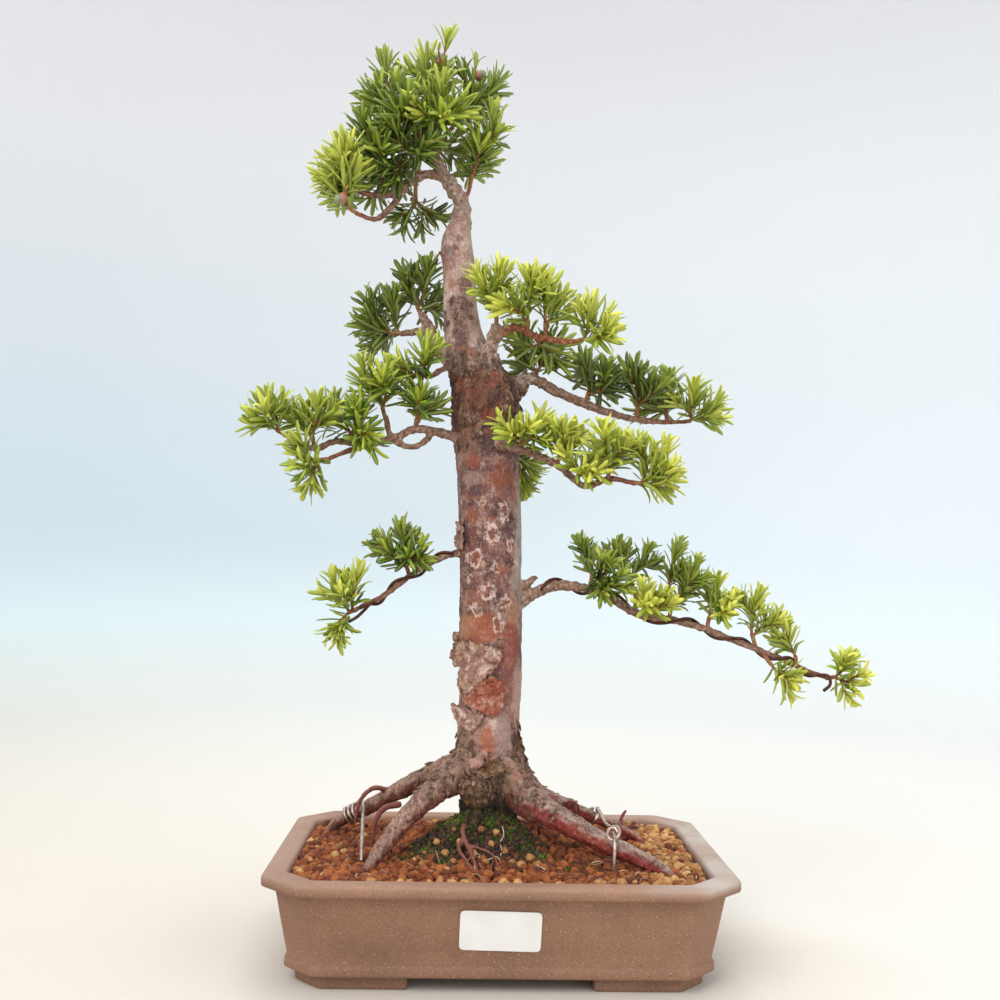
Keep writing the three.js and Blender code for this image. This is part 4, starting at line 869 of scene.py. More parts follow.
# Bare and stained patches on the trunk's front: middle (x, z), half width, half height, colour
BARK_PATCHES = [
    ((-25, 316), 7, 13, "#835c48"),
    ((-14, 315), 5, 7, "#4f3834"),
    ((4, 309), 6, 8, "#533937"),
    ((-10, 328), 8, 3.5, "#834933"),
    ((-13, 319), 2.5, 3, "#94543e"),
    ((-22, 299), 4.2, 4.4, "#8d4b39"),
    ((-3, 289), 9.5, 4.6, "#8b5037"),
    ((-21, 289), 7, 4, "#94776c"),
    ((-19, 281), 6, 3, "#52393b"),
    ((-21, 265), 2.8, 4, "#935137"),
    ((-21, 252), 2.4, 7, "#743c32"),
    ((-19, 240), 4, 3.6, "#865141"),
    ((-3, 233), 3.4, 3, "#92513a"),
    ((7, 226), 4, 6, "#a48f84"),
    ((-15, 197), 12, 9, "#a0593a"),
    ((-25, 198), 4, 11, "#a97855"),
    ((5, 207), 5, 8.4, "#ab7d5f"),
    ((3.5, 185), 7, 15, "#8c4938"),
    ((3, 162), 6, 12, "#7d4941"),
    ((10, 160), 4, 20, "#ac8e7d"),
    ((-9, 126), 4.5, 11, "#a9654a"),
    ((-14, 116), 5, 8, "#c49789"),
    ((1, 130), 5.5, 15, "#957b75"),
    ((-25, 126), 6, 14, "#755c47"),
    ((-28, 411), 5, 8, "#7c5a52"),
    ((-31, 380), 6, 10, "#5f3d36"),
    ((-27, 368), 7, 4, "#8f5d45"),
    ((-32, 396), 9, 10, "#5c3b35"),
    ((-18, 342), 7, 9, "#6f4530"),
    ((-28, 328), 3, 13, "#7e5843"),
    ((-10, 352), 4, 6, "#8a4a36"),
    ((-8, 321), 9, 4, "#4b3536"),
]
# Marks where the bark has split and healed, with a pale ragged rim: middle, half width and height
BARK_EYES = [
    ((-2, 268), 3.6, 8), ((-9, 255), 5, 8.5), ((2.5, 248), 3.4, 6), ((-19, 240), 6.6, 6.4),
    ((-11, 219), 4.6, 6.4), ((0, 213), 3.6, 6), ((-18, 208), 4.6, 4), ((-4, 200), 4.2, 5.4),
    ((-23, 226), 2.4, 4), ((7, 238), 2.6, 5), ((-7, 235), 2.4, 4), ((-15, 274), 3, 3),
]
PATCH_Y = -20
PATCH_DEEP = 16


def yew_bark():
    # Yew bark: dry, thin and papery, dark purple-brown where it is old, pink-grey where the
    # plates bleach, orange and red where one has just come off. Here the place is in millimetres,
    # so a pattern of scale 0.1 is 10 mm wide
    material, tree, shader = new_material("yew bark")
    at = add(tree, "TexCoord", out="Object")
    at = add(tree, "VectorMath", {0: at, 1: tuple(-POT_MIDDLE)})
    at = add(tree, "VectorMath", {0: at, "Scale": 1 / MM}, operation="SCALE")
    warp = {"Vector": at, "Scale": 0.3, "Detail": 6.0, "Roughness": 0.65}
    bent = shaken(tree, at, warp, 9.0)
    height = add(tree, "SeparateXYZ", {"Vector": bent}, out="Z")
    colour = bark_ground(tree, bent, height)
    colour = bark_clouds(tree, at, colour)
    colour = bark_flecks(tree, at, bent, height, colour)
    colour = bark_patches(tree, at, bent, colour)
    colour = bark_eyes(tree, at, bent, colour)
    girth = add(tree, "Attribute", attribute_name="girth", out="Fac")
    mottle = add(tree, "TexNoise", {"Vector": at, "Scale": 0.4, "Detail": 8.0, "Roughness": 0.75})
    colour = branch_bark(tree, at, height, girth, mottle, colour)
    colour = root_bark(tree, at, height, girth, mottle, colour)
    colour = knob_bark(tree, at, mottle, colour)
    colour = loose_bark(tree, bent, colour)
    streak = add(tree, "VectorMath", {0: at, 1: (1.2, 1.2, 0.45)}, operation="MULTIPLY")
    streak = add(tree, "TexNoise", {"Vector": streak, "Scale": 1.0, "Detail": 8.0, "Roughness": 0.75})
    colour = add(tree, "MixRGB", {"Fac": 0.85, "Color1": colour, "Color2": streak}, blend_type="OVERLAY")
    colour = add(tree, "HueSaturation", {"Value": 1.02, "Saturation": 1.02, "Color": colour})
    relief = add(tree, "Bump", {"Height": streak, "Strength": 0.7, "Distance": 1.2 * MM})
    connect(shader, {"Base Color": colour, "Normal": relief, "Roughness": 0.8})
    return material


def shaken(tree, vector, pattern, reach):
    # Moves a place about by a noise pattern, by up to half its reach, so that edges are ragged
    shake = add(tree, "TexNoise", pattern, out="Color")
    shake = add(tree, "VectorMath", {0: shake, 1: (0.5, 0.5, 0.5)}, operation="SUBTRACT")
    shake = add(tree, "VectorMath", {0: shake, "Scale": reach}, operation="SCALE")
    return add(tree, "VectorMath", {0: vector, 1: shake})


def bark_ground(tree, bent, height):
    # The trunk's main colour, one stretch of its height after another
    ground = add(tree, "TexNoise", {"Vector": bent, "Scale": 0.11, "Detail": 9.0, "Roughness": 0.7})
    colour = add(tree, "ValToRGB", {"Fac": ground}, stops=MIDDLE_BARK)
    for start, whole, stops in BARK_STRETCHES:
        stretch = add(tree, "ValToRGB", {"Fac": ground}, stops=stops)
        share = add(tree, "MapRange", {"Value": height, "From Min": start, "From Max": whole})
        colour = add(tree, "MixRGB", {"Fac": share, "Color1": colour, "Color2": stretch})
    return colour


def bark_clouds(tree, at, colour):
    # Rust and plum clouds some centimetres wide, with sharp edges where a thin skin has gone
    for shift, code, most in BARK_CLOUDS:
        moved = add(tree, "VectorMath", {0: at, 1: (shift, 0, shift)})
        cloud = add(tree, "TexNoise", {"Vector": moved, "Scale": 0.062, "Detail": 9.0, "Roughness": 0.62})
        cloud = add(tree, "MapRange", {"Value": cloud, "From Min": 0.54, "From Max": 0.58, "To Max": most})
        colour = add(tree, "MixRGB", {"Fac": cloud, "Color1": colour, "Color2": linear(code)})
    dust = add(tree, "TexNoise", {"Vector": at, "Scale": 1.3, "Detail": 2.0})
    dust = add(tree, "MapRange", {"Value": dust, "From Min": 0.62, "From Max": 0.7, "To Max": 0.5})
    return add(tree, "MixRGB", {"Fac": dust, "Color1": colour, "Color2": linear(BARK_DUST)})


def bark_flecks(tree, at, bent, height, colour):
    # Pale ragged flecks of bleached skin, fewer round the fork
    flat = add(tree, "VectorMath", {0: at, 1: (0.26, 0.26, 0.15)}, operation="MULTIPLY")
    fleck = add(tree, "TexNoise", {"Vector": flat, "Scale": 1.0, "Detail": 10.0, "Roughness": 0.78})
    skin = add(tree, "MapRange", {"Value": fleck, "From Min": 0.53, "From Max": 0.6})
    fork = add(tree, "MapRange", {"Value": height, "From Min": 304.0, "From Max": 322.0,
                                  "To Min": 0.7, "To Max": 0.28})
    above = add(tree, "MapRange", {"Value": height, "From Min": 352.0, "From Max": 368.0, "To Max": 0.4})
    fork = add(tree, "Math", {0: fork, 1: above}, operation="ADD")
    skin = add(tree, "Math", {0: skin, 1: fork}, operation="MULTIPLY")
    colour = add(tree, "MixRGB", {"Fac": skin, "Color1": colour, "Color2": linear(BARK_FLECK)})
    # A pale grey strip, torn in places, down the trunk's right side
    across = add(tree, "SeparateXYZ", {"Vector": bent}, out="X")
    side = add(tree, "MapRange", {"Value": across, "From Min": 4.5, "From Max": 7.5})
    band = add(tree, "MapRange", {"Value": height, "From Min": 195.0, "From Max": 225.0})
    top = add(tree, "MapRange", {"Value": height, "From Min": 296.0, "From Max": 276.0, "To Max": 0.75})
    torn = add(tree, "MapRange", {"Value": fleck, "From Min": 0.38, "From Max": 0.52, "To Min": 0.3})
    strip = side
    for share in (band, top, torn):
        strip = add(tree, "Math", {0: strip, 1: share}, operation="MULTIPLY")
    return add(tree, "MixRGB", {"Fac": strip, "Color1": colour, "Color2": linear(BARK_GREY)})


def how_far(tree, bent, x, z, wide, high):
    # The distance from a mark's middle on the trunk's front, as a share of its size
    away = add(tree, "VectorMath", {0: bent, 1: (x, PATCH_Y, z)}, operation="SUBTRACT")
    away = add(tree, "VectorMath", {0: away, 1: (1 / wide, 1 / PATCH_DEEP, 1 / high)},
               operation="MULTIPLY")
    return add(tree, "VectorMath", {0: away}, operation="LENGTH", out="Value")


def bark_patches(tree, at, bent, colour):
    # Each patch has its own colour, and ragged gaps that let the ground through
    ragged = add(tree, "VectorMath", {0: at, 1: (0.9, 0.9, 0.5)}, operation="MULTIPLY")
    ragged = add(tree, "TexNoise", {"Vector": ragged, "Scale": 1.0, "Detail": 7.0, "Roughness": 0.7})
    ragged = add(tree, "MapRange", {"Value": ragged, "From Min": 0.36, "From Max": 0.56,
                                    "To Min": 0.25, "To Max": 0.95})
    for (x, z), wide, high, code in BARK_PATCHES:
        away = how_far(tree, bent, x, z, wide, high)
        patch = add(tree, "MapRange", {"Value": away, "From Min": 1.2, "From Max": 0.88})
        patch = add(tree, "Math", {0: patch, 1: ragged}, operation="MULTIPLY")
        colour = add(tree, "MixRGB", {"Fac": patch, "Color1": colour, "Color2": linear(code)})
    return colour


def bark_eyes(tree, at, bent, colour):
    # Each eye is dull inside, with a pale rim that is worn through in places
    wear_and_pot_rim_highlight = add(tree, "VectorMath", {0: at, 1: (0.42, 0.42, 0.2)}, operation="MULTIPLY")
    wear_and_pot_rim_highlight = add(tree, "TexNoise", {"Vector": wear_and_pot_rim_highlight, "Scale": 1.0, "Detail": 8.0, "Roughness": 0.7})
    wear_and_pot_rim_highlight = add(tree, "MapRange", {"Value": wear_and_pot_rim_highlight, "From Min": 0.41, "From Max": 0.51})
    torn = {"Vector": at, "Scale": 0.2, "Detail": 5.0, "Roughness": 0.6}
    bent = shaken(tree, bent, torn, 11.0)
    for (x, z), wide, high in BARK_EYES:
        away = how_far(tree, bent, x, z, wide, high)
        inside = add(tree, "MapRange", {"Value": away, "From Min": 0.6, "From Max": 0.45, "To Max": 0.6})
        colour = add(tree, "MixRGB", {"Fac": inside, "Color1": colour, "Color2": linear(EYE_INSIDE)})
        ring = add(tree, "ValToRGB", {"Fac": away},
                   stops=[(0.45, "#000000"), (0.62, "#dcdcdc"), (0.8, "#dcdcdc"), (0.94, "#000000")])
        ring = add(tree, "MixRGB", {"Fac": 1.0, "Color1": ring, "Color2": wear_and_pot_rim_highlight}, blend_type="MULTIPLY")
        colour = add(tree, "MixRGB", {"Fac": ring, "Color1": colour, "Color2": linear(EYE_RIM)})
    return colour


def branch_bark(tree, at, height, girth, mottle, colour):
    # Branches are plainer and greyer than the trunk, stout ones paler, and the last twigs and
    # the upper right arm red-brown
    branch = add(tree, "ValToRGB", {"Fac": mottle}, stops=BRANCH_BARK)
    pale = add(tree, "ValToRGB", {"Fac": mottle}, stops=STOUT_BRANCH_BARK)
    stout = add(tree, "MapRange", {"Value": girth, "From Min": 3.2, "From Max": 4.6, "To Max": 0.8})
    branch = add(tree, "MixRGB", {"Fac": stout, "Color1": branch, "Color2": pale})
    twig = add(tree, "ValToRGB", {"Fac": mottle}, stops=TWIG_BARK)
    thin = add(tree, "MapRange", {"Value": girth, "From Min": 2.2, "From Max": 1.5})
    branch = add(tree, "MixRGB", {"Fac": thin, "Color1": branch, "Color2": twig})
    rust = add(tree, "ValToRGB", {"Fac": mottle}, stops=RUSTY_BARK)
    arm = add(tree, "VectorMath", {0: at, 1: RUSTY_ARM}, operation="DISTANCE", out="Value")
    arm = add(tree, "MapRange", {"Value": arm, "From Min": 34.0, "From Max": 24.0, "To Max": 0.85})
    branch = add(tree, "MixRGB", {"Fac": arm, "Color1": branch, "Color2": rust})
    slim = add(tree, "MapRange", {"Value": girth, "From Min": 8.0, "From Max": 5.0})
    above = add(tree, "MapRange", {"Value": height, "From Min": 130.0, "From Max": 150.0})
    slim = add(tree, "Math", {0: slim, 1: above}, operation="MULTIPLY")
    return add(tree, "MixRGB", {"Fac": slim, "Color1": colour, "Color2": branch})


def root_bark(tree, at, height, girth, mottle, colour):
    # Roots are pale on top, partly bleached and partly painted light, and brown underneath, partly red
    # bark and partly painted shade; those on the right are brighter and redder
    low = add(tree, "MapRange", {"Value": height, "From Min": 114.0, "From Max": 96.0, "To Max": 0.85})
    slim = add(tree, "MapRange", {"Value": girth, "From Min": 15.0, "From Max": 12.0})
    low = add(tree, "Math", {0: low, 1: slim}, operation="MULTIPLY")
    across = add(tree, "SeparateXYZ", {"Vector": at}, out="X")
    right = add(tree, "MapRange", {"Value": across, "From Min": 8.0, "From Max": 30.0})
    bare = add(tree, "MapRange", {"Value": right, "To Min": 0.08, "To Max": -0.18})
    # Painted light and shade: a root is paler where it faces up and darker red where it faces down
    facing = add(tree, "NewGeometry", out="Normal")
    facing = add(tree, "SeparateXYZ", {"Vector": facing}, out="Z")
    facing = add(tree, "Math", {0: facing, 1: bare}, operation="ADD")
    facing = add(tree, "MapRange", {"Value": facing, "From Min": -0.1, "From Max": 0.35})
    groove = add(tree, "Attribute", attribute_name="groove", out="Fac")
    groove = add(tree, "Math", {0: groove, 1: 0.085, 2: 0.2}, operation="MULTIPLY_ADD")
    streaks = add(tree, "Math", {0: mottle, 1: 0.62, 2: groove}, operation="MULTIPLY_ADD")
    skins = []
    for left_stops, right_stops in ((LEFT_ROOT_UNDER_RED_AND_SHADED, RIGHT_ROOT_UNDER_RED_AND_SHADED), (LEFT_ROOT_TOP_BLEACHED_AND_LIT, RIGHT_ROOT_TOP_BLEACHED_AND_LIT)):
        left_skin = add(tree, "ValToRGB", {"Fac": streaks}, stops=left_stops)
        right_skin = add(tree, "ValToRGB", {"Fac": streaks}, stops=right_stops)
        skins.append(add(tree, "MixRGB", {"Fac": right, "Color1": left_skin, "Color2": right_skin}))
    root = add(tree, "MixRGB", {"Fac": facing, "Color1": skins[0], "Color2": skins[1]})
    colour = add(tree, "MixRGB", {"Fac": low, "Color1": colour, "Color2": root})
    rootlet = add(tree, "MapRange", {"Value": girth, "From Min": 2.6, "From Max": 2.2})
    rootlet = add(tree, "Math", {0: rootlet, 1: low}, operation="MULTIPLY")
    colour = add(tree, "MixRGB", {"Fac": rootlet, "Color1": colour, "Color2": linear(ROOTLET_BARK)})
    # Painted shade: the stout trunk darkens from 98 mm down towards near-black brown, under the knob and root
    # arches
    shade = add(tree, "MapRange", {"Value": height, "From Min": 98.0, "From Max": 90.0, "To Max": 0.85})
    stout = add(tree, "MapRange", {"Value": girth, "From Min": 12.5, "From Max": 15.0})
    shade = add(tree, "Math", {0: shade, 1: stout}, operation="MULTIPLY")
    return add(tree, "MixRGB", {"Fac": shade, "Color1": colour, "Color2": linear(PAINTED_SHADE_UNDER_TRUNK)})


def knob_bark(tree, at, mottle, colour):
    # The knob is dead wood, olive-brown
    away = add(tree, "VectorMath", {0: at, 1: CUT_KNOB}, operation="DISTANCE", out="Value")
    skin = add(tree, "ValToRGB", {"Fac": mottle}, stops=KNOB_BARK)
    share = add(tree, "MapRange", {"Value": away, "From Min": 14.5, "From Max": 12.0})
    return add(tree, "MixRGB", {"Fac": share, "Color1": colour, "Color2": skin})


def loose_bark(tree, bent, colour):
    # The loose plates and flakes have colours of their own
    peel = add(tree, "Attribute", attribute_name="peel", out="Fac")
    mottle = add(tree, "TexNoise", {"Vector": bent, "Scale": 0.22, "Detail": 8.0, "Roughness": 0.7})
    for kind, stops in enumerate(LOOSE_BARK, start=1):
        chosen = add(tree, "Math", {0: peel, 1: kind - 0.5}, operation="GREATER_THAN")
        skin = add(tree, "ValToRGB", {"Fac": mottle}, stops=stops)
        colour = add(tree, "MixRGB", {"Fac": chosen, "Color1": colour, "Color2": skin})
    return colour


bark = yew_bark()
wood_mesh, loose_mesh = wood_meshes()
wood = new_piece("trunk_and_limbs", wood_mesh, bark)
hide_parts("wood")
for piece in (wood, new_piece("loose_bark", loose_mesh, bark)):
    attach(piece, "root")
# The stems once more, with fewer points, for what has to keep clear of them
WOOD_STEMS = [smooth_path(points, 2) for points in [TRUNK, *ROOTS.values(), *LIMBS.values()]]


# The soil: baked clay granules, sieved to about 4-7 mm, red-brown where they are wet, mounded
# under the trunk. A bed of dust carries the loose grains, which lie close together on it; its near-black
# colour is painted shade in the gaps between them.
SOIL_EDGE = 57
SOIL_MOUND = 20
MOUND_X = -8
MOUND_Y = -2
MOUND_RADIUS_X = 54
MOUND_RADIUS_Y = 36
SOIL_INSET = RIM_WIDE + 2.2
SOIL_FLOOR = 17
SOIL_FLOOR_SHARE = 0.96
SOIL_RINGS = 40
SOIL_STEP = 4
DUST_UNDER_GRAINS = 1.4
GRAIN_SPACING = 4.1
GRAIN_RADIUS = 2.95
GRAIN_STRAY = 1.5
GRAIN_CLEAR = 0.5
GRAINS_CUT = 15
# A little over a full turn, so that any angle can be drawn
ANY_TURN = 6.3


def soil_height(x, y):
    # Level out to the wall, with a mound round the trunk's foot
    away = ((x - MOUND_X) / MOUND_RADIUS_X) ** 2 + ((y - MOUND_Y) / MOUND_RADIUS_Y) ** 2
    return SOIL_EDGE + SOIL_MOUND * math.exp(-away)


def soil_mesh():
    corners = [(x, y) for x, y, _ in pot_ring(SOIL_INSET, 0)]
    outline = []
    for i, corner in enumerate(corners):
        nearest = Vector(corner)
        after = Vector(corners[(i + 1) % len(corners)])
        parts = max(1, round((after - nearest).length / SOIL_STEP))
        outline.extend(nearest.lerp(after, k / parts) for k in range(parts))
    rings = [[(p.x * SOIL_FLOOR_SHARE, p.y * SOIL_FLOOR_SHARE, SOIL_FLOOR) for p in outline]]
    for k in range(SOIL_RINGS, 0, -1):
        share = k / SOIL_RINGS
        rings.append([])
        for p in outline:
            x = p.x * share
            y = p.y * share
            bump = 0 if k == SOIL_RINGS else 1.1 * noise.noise(Vector((x / 2.6, y / 2.6, 0.5)))
            rings[-1].append((x, y, soil_height(x, y) - DUST_UNDER_GRAINS + bump))
    return new_mesh("soil", *lofted(rings))


def baked_clay(name, dark, middle, light):
    # Baked clay granules: dull and porous, each grain its own shade, mottled by about 2 mm
    material, tree, shader = new_material(name)
    at = add(tree, "TexCoord", out="Object")
    own = add(tree, "NewGeometry", out="Random Per Island")
    mottle = add(tree, "TexNoise", {"Vector": at, "Scale": 450.0, "Detail": 5.0, "Roughness": 0.7})
    mixed = add(tree, "Math", {0: own, 1: 0.44, 2: -0.22}, operation="MULTIPLY_ADD")
    mixed = add(tree, "Math", {0: mixed, 1: mottle}, operation="ADD")
    colour = add(tree, "ValToRGB", {"Fac": mixed}, stops=[(0.22, dark), (0.5, middle), (0.82, light)])
    fine = add(tree, "TexNoise", {"Vector": at, "Scale": 1600.0, "Detail": 3.0})
    relief = add(tree, "Bump", {"Height": fine, "Strength": 0.6, "Distance": 0.4 * MM})
    connect(shader, {"Base Color": colour, "Normal": relief, "Roughness": 0.9})
    return material


def ball_template(detail):
    # The points and triangles of a ball of radius 1, to be bent into stones
    ball = bpy.data.meshes.new("ball")
    shape = bmesh.new()
    bmesh.ops.create_icosphere(shape, subdivisions=detail, radius=1)
    shape.to_mesh(ball)
    shape.free()
    points = vertex_array(ball, "co")
    faces = np.array([list(polygon.vertices) for polygon in ball.polygons])
    bpy.data.meshes.remove(ball)
    return points, faces


def copies(template, placed):
    # Many bent copies of one small mesh, each given by a function of its points
    points, faces = template
    count = len(points)
    all_points = np.vstack([shape(points) for shape in placed])
    all_faces = np.vstack([faces + i * count for i in range(len(placed))])
    return all_points, all_faces.tolist()


def stone(centre, radius, draw):
    # Gives a function that bends a ball into one stone of its own shape, in its place
    stretch = np.array([draw.uniform(0.8, 1.2), draw.uniform(0.8, 1.2), draw.uniform(0.7, 1.0)]) * radius
    turn = np.array(Matrix.Rotation(draw.uniform(0, ANY_TURN), 3, Vector(
        (draw.uniform(-1, 1), draw.uniform(-1, 1), draw.uniform(-1, 1) + 0.01)).normalized()))
    seed = Vector((draw.uniform(0, 90), draw.uniform(0, 90), draw.uniform(0, 90)))

    def shape(points):
        swell = np.array([1 + 0.42 * noise.noise(Vector(p) * 1.5 + seed) for p in points])
        return (points * swell[:, None] * stretch) @ turn.T + centre
    return shape


def is_pale_ground(x, y, draw):
    # Dry grains lie at the right end, along the front and at the back, few elsewhere
    chance = 0.03
    if x > 86:
        chance = 0.68
    elif y < -69:
        chance = 0.42 if x > -60 else 0.16
    elif x < -98:
        chance = 0.12
    elif y > 58:
        chance = 0.3
    return draw.random() < chance


def scattered_grains():
    # Grains on a grid, each strayed a little, out to the wall and clear of the wood
    draw = random.Random(5)
    dark = []
    pale = []
    half_x = POT_LONG / 2 - SOIL_INSET - 1.5
    half_y = POT_DEEP / 2 - SOIL_INSET - 1.5
    spots = []
    for i in range(int(2 * half_x / GRAIN_SPACING) + 1):
        for k in range(int(2 * half_y / GRAIN_SPACING) + 1):
            x = -half_x + i * GRAIN_SPACING + draw.uniform(-GRAIN_STRAY, GRAIN_STRAY)
            y = -half_y + k * GRAIN_SPACING + draw.uniform(-GRAIN_STRAY, GRAIN_STRAY)
            x = max(-half_x, min(half_x, x))
            y = max(-half_y, min(half_y, y))
            if abs(x) + abs(y) < half_x + half_y - GRAINS_CUT:
                spots.append((x, y))
    away, _ = nearest_stem(np.array([(x, y, soil_height(x, y)) for x, y in spots]), WOOD_STEMS)
    for (x, y), clear in zip(spots, away):
        if clear < GRAIN_CLEAR:
            continue
        radius = GRAIN_RADIUS * draw.uniform(0.62, 1.3)
        lift = draw.uniform(-0.6, 1.2)
        grain = stone(np.array((x, y, soil_height(x, y) + lift)), radius, draw)
        (pale if is_pale_ground(x, y, draw) else dark).append(grain)
    return dark, pale


# Painted shade: the bed under the grains is near-black, as the gaps between grains are in shade
soil = new_piece("soil_bed", soil_mesh(), baked_clay("soil bed in painted shade", "#1c0d07", "#38190d", "#54291a"))
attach(soil, "root")
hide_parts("soil")
dark_grains, pale_grains = scattered_grains()
grain_ball = ball_template(2)
for name, grains, material in (
        ("wet_grains", dark_grains, baked_clay("wet baked clay", "#41190a", "#7d3d19", "#ab6534")),
        ("dry_grains", pale_grains, baked_clay("dry baked clay", "#7d5029", "#ab7a46", "#d0a66e"))):
    piece = new_piece(name, new_mesh(name, *copies(grain_ball, grains)), material)
    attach(piece, "root")


# The moss: a cushion of dark earth against the trunk's foot, grown over with short leafy stems,
# with crumbs and a few dry grains pressed into it. Fine dead rootlets lie over the soil.
MOSS_MIDDLE = (-14, -24)
MOSS_REACH = (42, 27)
MOSS_MOUND = 17
MOSS_MOUND_REACH = (30, 14)
MOSS_SIDES = 48
# The bed's rings: share of its reach, and whether they lie on top or under the soil
MOSS_RINGS = [(0.9, False), (1, False), *[(share, True) for share in (0.98, 0.85, 0.7, 0.55, 0.4, 0.25, 0.1)]]
MOSS_STEMS = 4600
# A stem's rings of leaves: height and how far they reach
MOSS_TIERS = [(0.1, 0.75), (0.5, 0.65), (0.9, 0.4)]
MOSS_LEAVES = 3
MOSS_CLEAR = -0.6
EARTH_CRUMBS = 420
ROOTLETS = 46
ROOTLET_STEP = 3.6
ROOTLET_SIDES = 5
# Where moss grows: middle and how far it spreads
MOSS_PATCHES = [
    ((-100, -38), 8), ((46, -44), 7), ((-37, -44), 13), ((-24, -34), 12), ((-5, -30), 10),
    ((13, -36), 12), ((-50, -36), 10), ((24, -42), 8), ((-112, 10), 8), ((60, 44), 10),
    ((-32, -26), 10), ((8, -26), 8), ((-9, 20), 10), ((-30, 14), 9), ((14, 14), 9),
]
PRESSED_GRAINS = [
    (-33, -40), (-24, -37), (-6, -38), (2, -40), (-9, -47), (-41, -56), (-3, -33), (-20, -50), (6, -46),
    (-28, -31), (-46, -47), (11, -47), (-28, -46), (-16, -42), (-2, -53), (17, -41), (21, -46),
    (-38, -33), (-51, -42), (-12, -33),
]


def moss_height(x, y):
    away = ((x - MOSS_MIDDLE[0]) / MOSS_MOUND_REACH[0]) ** 2 \
        + ((y - MOSS_MIDDLE[1]) / MOSS_MOUND_REACH[1]) ** 2
    return soil_height(x, y) + MOSS_MOUND * math.exp(-away)


def moss_bed_mesh():
    rings = []
    for share, top in MOSS_RINGS:
        ring = []
        for i in range(MOSS_SIDES):
            angle = 2 * math.pi * i / MOSS_SIDES
            x = MOSS_MIDDLE[0] + MOSS_REACH[0] * share * math.cos(angle)
            y = MOSS_MIDDLE[1] + MOSS_REACH[1] * share * math.sin(angle)
            bump = 1.2 * noise.noise(Vector((x / 4, y / 4, 2)))
            ring.append((x, y, moss_height(x, y) - 0.4 + bump if top else soil_height(x, y) - 4))
        rings.append(ring)
    return new_mesh("moss_bed", *lofted(rings))


def moss_stem_template():
    # A short stem's rings of pointed leaves, drawn larger than real ones so that they show
    points = []
    faces = []
    for tier, (height, reach) in enumerate(MOSS_TIERS):
        for i in range(MOSS_LEAVES):
            angle = 2 * math.pi / MOSS_LEAVES * i + tier * 0.9
            out = np.array((math.cos(angle), math.sin(angle), 0))
            side = np.array((-math.sin(angle), math.cos(angle), 0)) * 0.2
            root = np.array((0, 0, height))
            base = len(points)
            points += [root - side, root + side, root + (0, 0, 0.16),
                       root + out * reach + (0, 0, 0.55)]
            faces += [(base, base + 1, base + 3), (base + 1, base + 2, base + 3),
                      (base + 2, base, base + 3), (base, base + 2, base + 1)]
    return np.array(points), np.array(faces)


def moss_stem(x, y, draw):
    size = draw.uniform(0.95, 1.8)
    turn = np.array(Matrix.Rotation(draw.uniform(0, ANY_TURN), 3, "Z")
                    @ Matrix.Rotation(draw.uniform(-0.7, 0.7), 3, "X"))
    spot = np.array((x, y, moss_height(x, y) - 0.3))
    return lambda points: (points * size) @ turn.T + spot


def moss_stems():
    # Stems drawn round the middles of the patches, with gaps between the tufts
    draw = random.Random(77)
    spots = []
    while len(spots) < MOSS_STEMS:
        (x, y), reach = draw.choice(MOSS_PATCHES)
        x += draw.gauss(0, 0.5) * reach
        y += draw.gauss(0, 0.38) * reach
        if noise.noise(Vector((x / 5, y / 5, 7))) > -0.14:
            spots.append((x, y))
    heights = np.array([(x, y, moss_height(x, y)) for x, y in spots])
    away, _ = nearest_stem(heights, WOOD_STEMS)
    return [moss_stem(x, y, draw) for (x, y), clear in zip(spots, away) if clear > MOSS_CLEAR]


def moss_green():
    # Moss: matt, each stem its own green, from nearly black in the hollows to yellow-green
    material, tree, shader = new_material("cushion moss")
    own = add(tree, "NewGeometry", out="Random Per Island")
    at = add(tree, "TexCoord", out="Object")
    patchy = add(tree, "TexNoise", {"Vector": at, "Scale": 130.0, "Detail": 4.0})
    mixed = add(tree, "Math", {0: own, 1: 0.5, 2: -0.25}, operation="MULTIPLY_ADD")
    mixed = add(tree, "Math", {0: mixed, 1: patchy}, operation="ADD")
    colour = add(tree, "ValToRGB", {"Fac": mixed},
                 stops=[(0.25, "#161b07"), (0.45, "#2e3c10"), (0.62, "#5c741e"), (0.85, "#a0b040")])
    connect(shader, {"Base Color": colour, "Roughness": 0.7})
    return material


def rootlet_paths():
    # Fine dead rootlets, 0.4 to 0.7 mm thick, that lie over the grains
    draw = random.Random(12)
    paths = []
    for _ in range(ROOTLETS):
        x = draw.uniform(-100, 108)
        y = draw.uniform(-72, -30) if draw.random() < 0.8 else draw.uniform(-30, 60)
        way = draw.uniform(0, ANY_TURN)
        thick = draw.uniform(0.2, 0.36)
        rows = []
        for _ in range(draw.randint(4, 7)):
            rows.append((x, y, moss_height(x, y) + draw.uniform(1.8, 3.6), thick))
            way += draw.uniform(-0.9, 0.9)
            x = max(-112, min(112, x + ROOTLET_STEP * math.cos(way)))
            y = max(-72, min(72, y + ROOTLET_STEP * math.sin(way)))
        rows[0] = (*rows[0][:2], rows[0][2] - 4, thick)
        rows[-1] = (*rows[-1][:2], rows[-1][2] - 4, thick)
        paths.append(smooth_path(rows, 3))
    return paths


def dead_rootlet():
    # Dry root fibre: pale straw to brown
    material, tree, shader = new_material("dry root fibre")
    own = add(tree, "NewGeometry", out="Random Per Island")
    colour = add(tree, "ValToRGB", {"Fac": own}, stops=[(0.2, "#6b4430"), (0.6, "#a98a6c"), (0.9, "#cdb99f")])
    connect(shader, {"Base Color": colour, "Roughness": 0.8})
    return material


